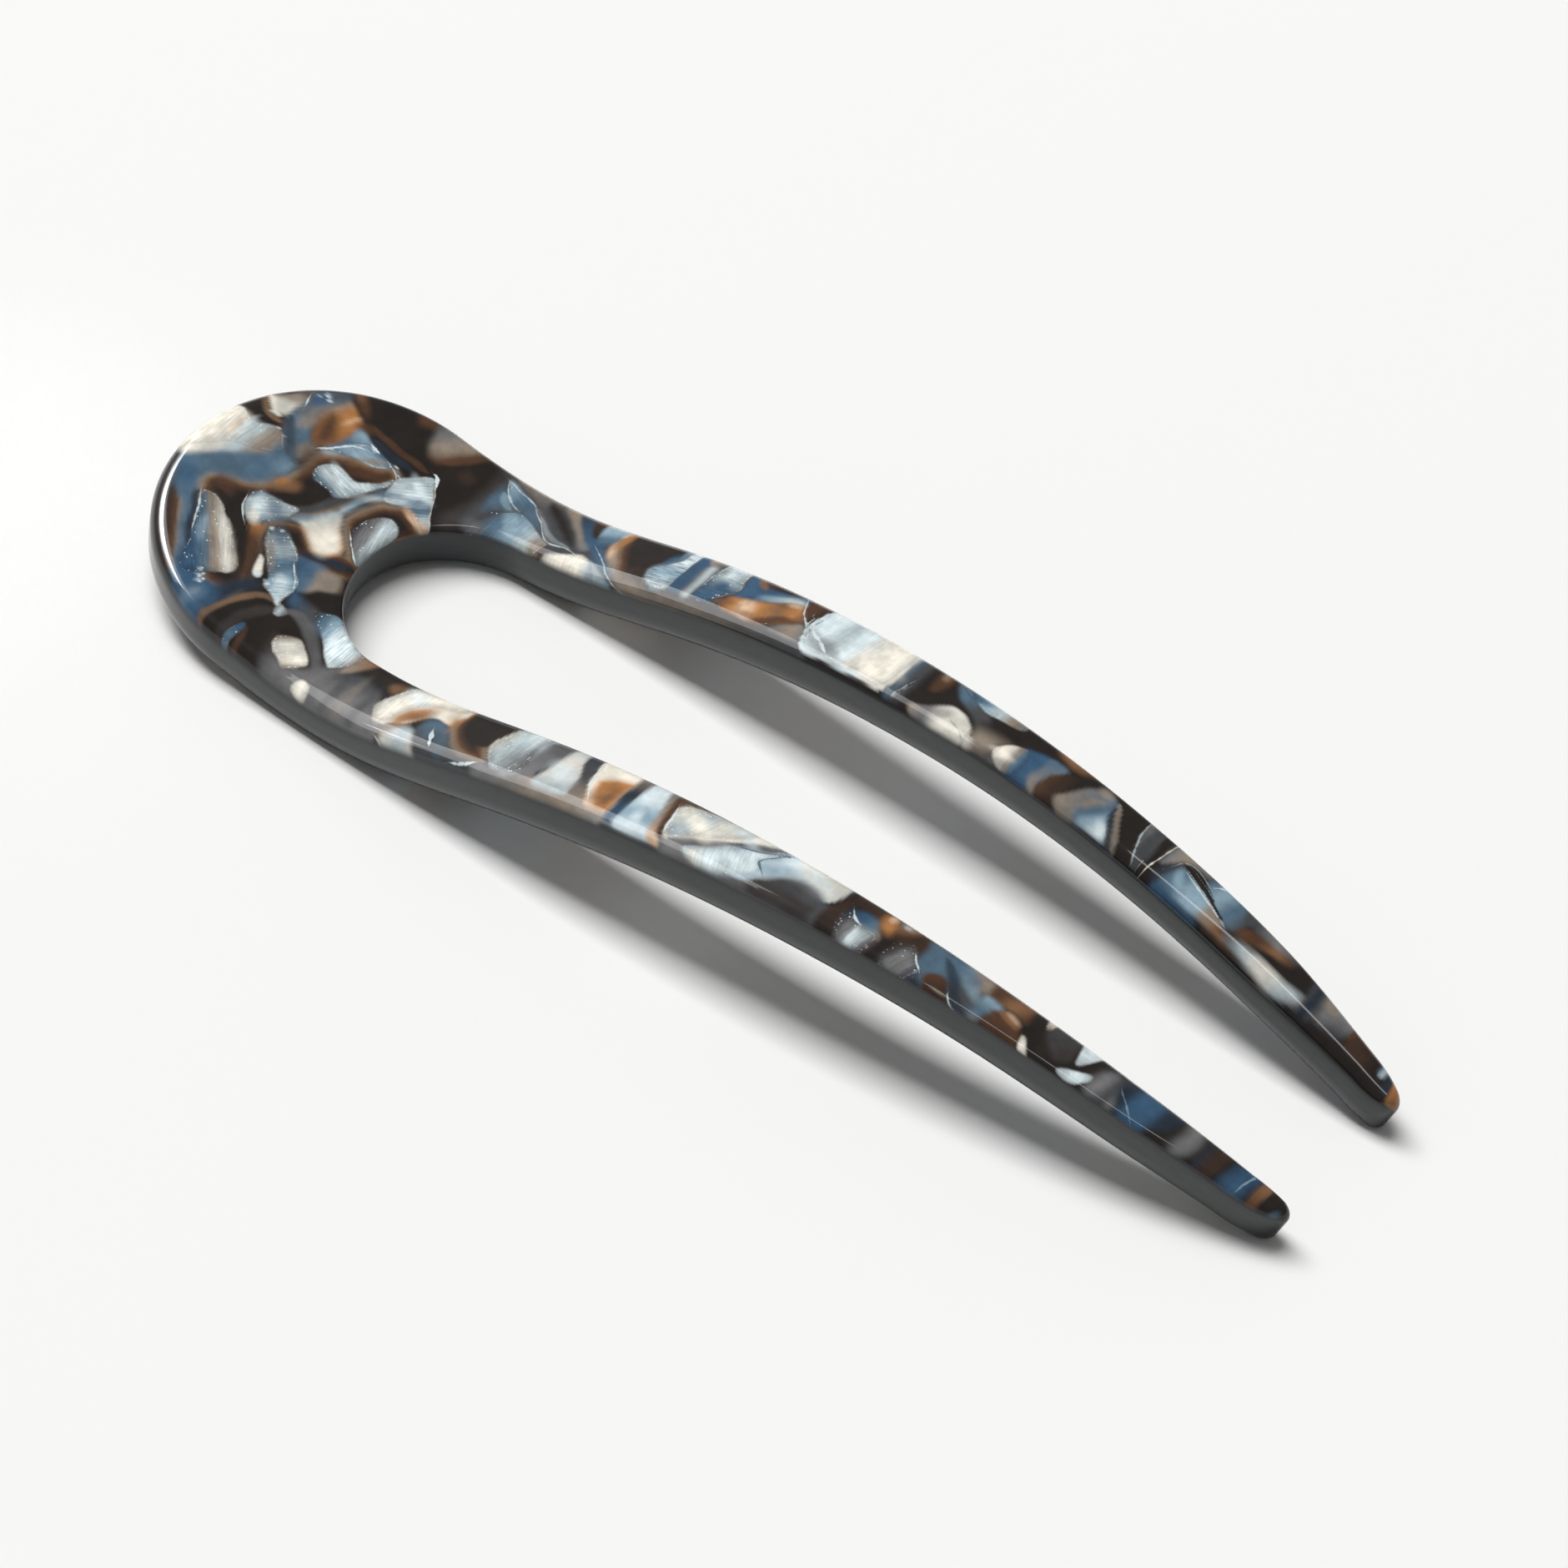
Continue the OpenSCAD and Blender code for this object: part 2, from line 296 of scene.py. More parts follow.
# the head's sharp chips; the cream band and the frost and pearl lines among them are painted highlight glints
# along chip edges, and the smallest frost dabs at the end painted sparkles
chart += """
wash cream/cream/pearl/silver/taupe/steel .45: -4,33 68,0 5,-8 -6,-9 -9,-9 -10,-10 -10,-9 -9,-10 -8,-10
 -11,1 -10,21 0,20
flakeA cream/cream/pearl/silver/taupe/steel 0 .05 .2 .3: -4,33 20,2 8,-2.5 7,-1.5 4,0.5 6,4.5 9,3.5 7,-1.5
 7,-7 5,-6 -9,-8 -14,-7 -16,-8 -14,-18 -10,-15 -10,21 0,20
flakeB taupe/steel/mist/mist/steel .12 .05 .6 .3 80: 85,46 4,1 5,7 6,3.5 10,3.5 12,2 10,4.5 6,4.5 4,4 -9,3.5
 -11,1.3 -10,-0.8 -8,-6 -7,-8 -6,-11
flakeA steel/silver/frost/silver/silver 0 .14 .35 .6 80: 97.5,30 1,6 3.5,5.5 6,4.5 6,0.5 6,-1.5 8,-1 5,2.5
 6,5.5 5,6 4,8 4,4 -2,-10 -5,-12 -5,-11 -5,-10 -4,-6 -5,0 -6,2.5 -6,-1.5 -7,-1 -6,3
flakeB silver/silver/frost/steel/silver/peach 0 .06 .4 .5 -50: 151,71 5,6 4,5 5,7 6,3 4,-1 5,-8 29.5,-37
 -5.5,-3 -6,2 -6,4.5 -9,3.5 -11,-1 -10,-4 -6,0 -4,6 0,10
flakeA slate/smoke/silver/silver 0 .08 .5 .5 15: 161,21 4,7 7,6 6,2.5 7,-1.5 4.5,-3 2,-6 -0.5,-14 0,-12
 0,-10 -1,-6 -5,0.5 -6,3.5 -8,8 -8,8 -2,8
flakeA steel/silver/silver/steel 0 .08 .3 .45 -45: 78.5,-23 1.5,3 3,3.5 7,2 12,1 8,2 8,3.5 -1,-11 -5,-8
 -3,-6 -3,-5 -4,-6 -6,-2 -5,3 -6,5 -4,6
flakeB slate/silver/steel/mist/frost 0 .12 .35 .5 -48: 112,-39 1,4 5,2.5 10,-0.5 10,-5 12,-6 5,-8 7,-7 7,-7
 1.5,-6 -0.5,-12 0,-7 -6,3 -8,2 -6,1 -2,4 -2,5 -7,7 -7,6 -9,9 -6,8
flakeA pearl/cream/frost 0 .04 .2 .1 -45: 125,-64 4,0 6,-7 7.5,-9 -2.5,-3 -5,1 -6,8
flakeA denim/denim/steel/taupe/pearl/taupe 0 .14 .3 .35 45: 50.5,-50 4.5,3 7,1.5 8,-2 8,-5.5 10,-4.5 8,-6.5
 10,-7 9,-7 6,-6 3,-6 -3,-7 -6,-4 -6,-5 -7,-8 -10,-5 -6,9 -12,22 -12,21
flakeB mist/steel/denim .16 .05 .3 .3 90: 165,-121 3,-3 0,-10 -3,-12 -2,-14 -6,0 1,18 2,12
flakeB smoke/silver/smoke .16 .1 .1 .2: 170,-87 6,-1 7,-3 -3,-8 -7,0 -2.5,6
flakeA taupe/pearl/pearl/cream/taupe 0 .1 .05 .2 -50: 192.5,-114 5.5,5 5,3 6,3 8,-3 9,-6 9,-7 -4,-6 -5,-7
 -6,-4 -8,5 -12,5 -6,5
flakeA pearl/cream/pearl .2 .08 0 .1: 236,-145 4,7 5,5 9,-2 2,-7 -2,-9 -10,1
flakeB slate/steel/mist/frost/frost/silver/taupe .12 .08 0 .6: 196,-75 18,8 10,2 10,-1 14,-4 16,-4 4,-16
 -6,-11 -6,-7 -6,-4 -9,5 -8,8 -10,7 -13,8
veil steel .6 .75: 69,36 5,-12 -15,-12 -12,-13 -11,-11 -8,-12 -8,-10 12,-2 18,10 24,10 8,16 0,24
veil denim .6 .75: 76,-96 10,-4 12,-6 10,-1 6,-9 10,2 0,-26 -28,6
dab peach 1.5 .3 .55 90: 25,20
dab frost 1.3 .3 .8 90: 31,24
dab taupe 1 .5 .6 60: 45,18 56,26
dab cream 1.6 .7 .8 80: 16,10
dab taupe 1.4 .4 .8 40: 126,69
dab frost 1.4 .5 .7 -30: 117,39 169,77
dab silver 1.2 .6 .7 30: 134,34
dab steel 1.5 .5 .75 30: 178,64 156,54
dab peach 1.6 .4 .8 -10: 189,50 203,46
dab frost 1.6 .6 .6 -60: 183,14 92,-30
dab cream .8 .5 .8 -50: 97,-40
dab umber 1 .6 .8 20: 99,91
dab steel 1.3 .7 .7 -30: 126,-40 106,-22
dab taupe 1.8 .4 .8 -48: 133,-59
dab frost 1 .7 .7 -40: 157,-73
dab mist 1.4 .6 .6 -60: 76,-76
dab pearl 2.2 .6 .4 -40: 104,-76
dab frost 1.7 .8 .9 -20: 243,-88
dab cream 1.1 .5 .6 -30: 219,-123
band cream .34 .8: 20,63 10,-7 6,-5 8,-2
line frost .09 .8: 44,84 2,-6 4,-7
line frost .12 .9: 85,46 6,7 5,8 4,6 6,5 10,3
line frost .14 .95: 110,81 6,-1 8,-0.5
line frost .08 .9: 132,79 7,-2 6,-3 7,-6
line frost .2 1: 168,96 5,-1 4,-5 4,-6
line pearl .09 .9: 177,89 9,-12 10,-14 8,-10 7,-9
line frost .09 .85: 78,-28 5,-9 7,-8 7,-6
line frost .1 .8: 49,-49 7,-10 8,-12 8,-13
line frost .09 .8: 150,-49 7,-7 7,-8 5,-6
line frost .1 .9: 160,5 10,-9 10,-8 9,-5
dab frost .22 .2 .95: 114,-37.5 150,-82 170,-89 35,49.5 54,94 59,91 104,-108 108,-113 111,-117
dab frost .12 .1 .95: 109,-109 112,-113 105,-113 107,-118 145,77 149,73 142,79 57,37 50,39 44,35 156,-85
 147,-80 96,-24 122,-34 49,89 153,66
"""
# far prong; its frost, silver and cream lines are painted highlight glints along chip edges and its darker
# lines seams, and the two night bands near the tip are painted shade, the darker reflection along the rounded
# edge there
chart += """
wash slate .4: 217,156 363,0 0,-86 -363,0
wash night .4: 580,156 575,-36 0,-70 -575,16
wash taupe/slate .5 -60: 224,156 76,0 -10,-32 -30,2 -20,8 -16,5
wash slate/steel/slate .4 -40: 218,134 6,-2 12,-12 17,-9 -5,-7 -16,-10 -8,-2 -4,18
wash mist/steel/slate/slate .14 -25: 220,133.5 14,-0.5 14,-5 16,-4 20,-15 18,-12 -22,6 -24,9 -12,2 -12,6
wash slate/slate/smoke .4 -122: 260,121 20,13 22,-14 23,-16 9,-6 -18,-1 -16,0 -16,9
wash steel/slate .15 20: 256,123 19,-9.5 15,-11 14,-6.5 -14,3 -15,4.5 -19,7.5
wash night .35: 268,139 25,-12 23,-15 10,-8 -14,2 -22,14 -20,10
wash taupe/taupe/smoke .3 -30: 279,154 13,-4 18,-20 16,-12 16,-10 -8,-5 -15,11 -17,12 -18,11
wash navy/denim/steel .35 -35: 294,154 20,-4 18,-21 14,-12 18,-11 20,-16 -14,-1 -18,10 -18,13 -22,15
wash umber/night .25 -60: 313,156 19,0 0,-24 7,-11 -7,1 -10,8
wash cream/silver/mist/steel/denim .14 -75: 331,156 35,0 -4,-20 -5,-10 -5,-9 -5,-6 -5,5 -5,6 -4,8
wash taupe/peach/taupe/steel .3 -60: 358,136 -4,-12 2,-10 7,-9 11,-10 10,-7 0,10 -12,12 -8,14
wash mist/silver/mist .2 -25: 340,97 14,0 16,-7 16,-10 -16,-4 -24,4
pool taupe/tan/umber/bark/night 1.3: 358,158 82,0 -12,-22 -8,-7 -5,-9 -7.5,-6 -1,-6 2.5,-8 4,-13 -19,-1
 -12,7 -10,11 -8,12 -5,12
wash night .3: 382,158 58,0 -14,-24 -7,-6 -6,-8 -5.5,-6 -1,-6 2.5,-8 -7,2 -12,12
wash bark/night .4: 388,92 26,-8 -2,12 -6,10 -14,0
dab taupe 2.1 .8 .6 -8: 399,87
dab amber 1.4 .45 .9 80: 362,130
dab peach .6 .25 .9 60: 358,136
dab denim 1.2 .45 .9 60: 417,125
wash mist/steel/mist .12 90: 423,156 14.5,0 -1,-64 -16.5,0 -9,6 -3.5,10 1.5,6 8,9 4,9
wash denim .14: 437,156 11,0 2,-36 -1,-28 -12,0
wash taupe/slate .12: 445,156 23,0 -4,-17 -6,-6 -12,0
wash smoke/silver/smoke .3: 449,133 12,0 1,-40 -14,0
wash taupe/slate .5: 390,86 50,3 130,0 0,-17 -180,0
wash denim/denim/steel .2 -10: 487,156 63,0 -6,-21 -2,-8 -22,-7 -20,-8 -12,0 3,12
wash steel/mist/silver/silver .3 25: 506,120 14,8 14,4 10,2 6,-7 -14,-2 -16,-6 -12,-4
wash umber/night/umber .2: 500,156 52,0 -10,-20 -18,-2 -14,-3 -7,4
band caramel .42 .9: 495,146 5,-11 9,-7
wash smoke/taupe/smoke .25: 536,93 8,9 14,11 8,-8 5,-13
wash umber/umber/night .15 -20: 543,156 39,0 -8,-20 -5,-5 -4,-9 -4,-7 -5,3 -6,8
wash frost/frost/frost/silver/frost/pearl/pearl .1 -15: 570,134 6,22 80,0 1,-36 -2,-15 -2,-18 -81,1 -6,16
 -4,9 3,9
wash steel/slate/night .35: 654,156 20,0 0,-72 -20,0 3,26
wash umber .35: 675,144 14,0 1,-24 -4,-10 -8,1
wash taupe/caramel .3: 678,142 9,0 -1,-18 -6,0
wash smoke/steel/slate/slate .3 -45: 691,142 19,-2 14,-17 12,-13 2,-14 -10,7 -14,9 -11,4 -8,8
wash slate/taupe/night .6 90: 729,109 25,1 8,-6 -10,-10 2,-18 -24,0 2,18
wash pearl/taupe .2: 730,90 7,0 3,-8 -4,-4 -6,0
wash taupe/smoke/pearl/pearl/pearl .2: 676,89 10,5 12,8 9,4.5 11,-1.5 9,-7 3,-8 0,-13 -30,-1 -20,3
wash umber/caramel/umber .4: 777,136 38,-2 15,-14 -20,-5 -20,4
wash denim .25: 768,108 16,4 10,0 2,-16 -2,-16 6,-10 -22,0 -12,8
wash steel/taupe .25 -60: 790,113 19,-0.5 -3,-6.5 -7,-7 -4,-13 3,-14 -8,6 -3,12 4,10
wash umber/bark/night .25: 810,112 14,-2 -8,-14 -4,-12 6,-14 -16,0 -6,14 3,15
wash taupe/smoke/steel .25 25: 812,85 5,9 8,10 6,8 9,5 9,-3 7,-12 13,-20 5,-14 -50,1
wash taupe/steel/mist/frost/mist .25 -35: 829,92 8,13 10,4.5 6,-11.5 7,-12 6,-11 -16,-1 -16,4
wash navy/slate .2 -45: 849,109 4,0 9,-13 12,-24 -7,-2 -7,14 -7,13
wash navy .25: 832,76 34,1 2,-9 -34,0
band taupe .35 .75: 850,114 10,-14 8,-15 5,-13
wash smoke/slate/slate .12: 878,128 17,0 1,-38 -2,-16 -6,0 -6,20
wash smoke/taupe/smoke/slate .3: 907,126 23,-4 16,-8 -2,-10 -14,4.5 -12,-2.5 -8,-10 -7,-6
wash navy/slate .25: 903,82 7,14 7,9 3,-7 -4,-12 -4,-14
wash steel/steel/mist/mist/taupe/taupe .25: 919,100 13,-2 14,-5 12,-6 14,-7 -12,-3 -14,-4 -34,0 2,15
wash denim .25: 910,77 20,-2 24,-4 -4,-7 -40,2
wash steel/mist/steel/slate .2 -15: 938,103 10,11 28,-2 4,-14 2,-10 -8,-8 -12,7 -13,8
wash slate .3: 973,110 17,-2 -4,-12 -8,-2
wash slate/smoke/ash .3: 984,110 45,-6 1,-10 -44,-1
wash umber/umber/caramel/umber .35: 979,86 4,7 13,3 26,0 5,-5 -21,-3 -14,-6 -10,0
wash taupe/caramel/umber .25: 948,76 6,5 14,-3 14,-5 12,-4 -18,0 -16,2
wash smoke/silver/pearl/silver/smoke .4: 970,76 20,3.5 20,-0.5 20,-0.5 18,0.5 6,-7 -14,-6 -15,-3 -13,2 -14,5
 -15,3
wash slate/navy/slate .3: 1046,98 15,-2 0,-34 -13,0
wash taupe/smoke/slate .4 -60: 1060,100 30,-6 0,-15 -6,-9 -22,-1
wash bark/bark/night .2: 1090,96 31,-8 1,-15 -6,-5 -26,1
wash umber .2: 1088,94 5,-1 0,-13 -4,-3
wash mist/silver .2: 1122,86 6,-4 -1,-11 -4,-1
wash navy .16: 1128,84 7,-2 3,-19 -8,-2
wash amber/caramel .2 -60: 1135,80 11,-5 8,-15 -15,-4
flakeB slate/steel/mist/silver/taupe .16 .05 .3 .3 -10: 241,103 11,7 8,0.5 15,-6 15,-4 13,-3.5 -3,-8 -6,-9
 -4,-10 -36,-4 -16,-1 -11,5 2,14 4,12
flakeA pearl/cream/cream/mist .25 .04 .2 .15: 303,82 9,7 14,5 10,5 12,-2 10,-7 6,-8 -2,-12 -58,0
flakeB silver/mist/frost/frost .08 .1 .3 1.1 90: 427,150 10,0 -1,-20 0,-37 -14,0 -11,6 -4,8 1,6 11,7 7,10
flakeA denim/steel/silver/frost .12 .16 .5 .45 90: 462,150 25,0 1,-22 3,-6 -1,-7 -5,-5 -5,-7 -2,-9 -18,0
 -1,16 3,20
flakeB umber/amber/peach/amber/caramel/amber/caramel .3 .04 .1 .15 12: 482,105 5,5 9,2 9,1 10,3 11,5 12,5
 8,3 3.5,-1.5 5.5,-7.5 4,-5.5 -9,-5.5 -6,-6 -8,-6 -16,-4 -30,1
flakeA frost/frost/silver/frost/pearl/cream/pearl .08 .06 .5 .08 -12: 570,134 6,8 14,4 30,0 30,-2 2,-24
 -2,-15 -2,-14 -28,0 -30,0 -16,2 -6,11 -5.5,9 2.5,9
flakeB steel/steel/mist/silver/taupe/smoke 0 .04 .2 .25: 696,128 10,5 24,-1 30,-4 1,-6 -6,-3.5 -19,-1
 -6,-1.5 -10,4 -12,4
flakeA pearl/cream/pearl/taupe/steel/denim 0 .06 .1 .15: 753,93 5,8 6,5 10,2 5,-14 -4,-14 -13,-1 -7,7
dab taupe 1.2 .7 .9 -60: 293,88
dab umber .9 .4 .7 -60: 302,86
dab smoke 1.4 .9 .7 -20: 236,74
dab mist 1.5 .9 .8 -30: 256,100
dab navy 2.8 .35 .9: 270,70
dab denim .8 .7 .85 80: 476,115 469,103
dab frost .7 .35 .6 70: 473,132
dab peach .7 .3 .8 15: 507,109 541,125
dab umber 1.3 .5 .9 25: 543,107 531,100
dab caramel 1 .4 .6 10: 513,99 489,103
dab smoke 1.5 .6 .6 -30: 579,103 594,100
dab cream 2 1 .7: 636,104
dab smoke 1 .5 .6 30: 702,96 760,83
dab denim 1.5 .35 .7: 714,125
dab cream 1.1 .4 .6: 760,92 714,87
dab frost .9 .45 .6 -60: 855,84
dab mist 1.1 .5 .7 -60: 924,89
dab taupe .7 .45 .8: 840,114 1069,87
dab pearl 2 .4 .7: 1014,75
band night .45 .7: 956,69 18,-2 22,-4
band night .45 .7: 1034,63 36,-1 30,0 28,2
line frost .08 .75: 218,133 16,-2.5 14,-4 12,-2 6,-3.5
line frost .12 .6: 219,133 7,-8 8,-6 10,-5 10,-2.5
line slate .08 .7: 254,112 -7,-5 -8,-5 -12,-7
band mist .5 .5: 225,121 9,-8 12,-4
line frost .1 .65: 260,123 15,-9 15,-11 12,-5.5 10,0 10,3 8,-1 8,-4.5
band silver .3 .35: 270,120 20,-13 20,-6 16,1
line frost .09 .65: 342,113 13,-7 10,-7 11,-9 10,-6 14,-7
line frost .09 .75: 542,138 7,-10 5,-8 6,-5.5 4,-6.5 6,-14
line frost .13 .95: 570,134 -2.5,-8 -2,-7 -3.5,-6
line night .1 .6: 572,132 -2.5,-7 -1.5,-7 -3,-5 3,-9 5,-8
line frost .16 .9: 567,112 8,-5 10,-5 10,-8
line silver .09 .8: 666,110 -3,-10 -2,-14
line smoke .08 .7: 668,106 -3,-10 -1.5,-12
line smoke .1 .5: 709,95 11,-5 10,-7
line silver .12 .8: 878.5,120 0.5,-10 2.5,-12 3.5,-13 4,-10
line cream .09 .9: 907,122 -2,-12 -2.5,-14 -2.5,-12 -1.5,-13
line silver .08 .6: 912,94 4,10 9,3.5 10,-2 8,-4.5 7,-5
line night .25 .9: 918,103 12,-3 15,-5.5 13,-6 15,-7.5
line frost .1 .8: 922,98.5 16,-4.5 12,-5.5 12,-3.5 9,-4
line frost .1 .8: 944,101 5,5 6,4
"""
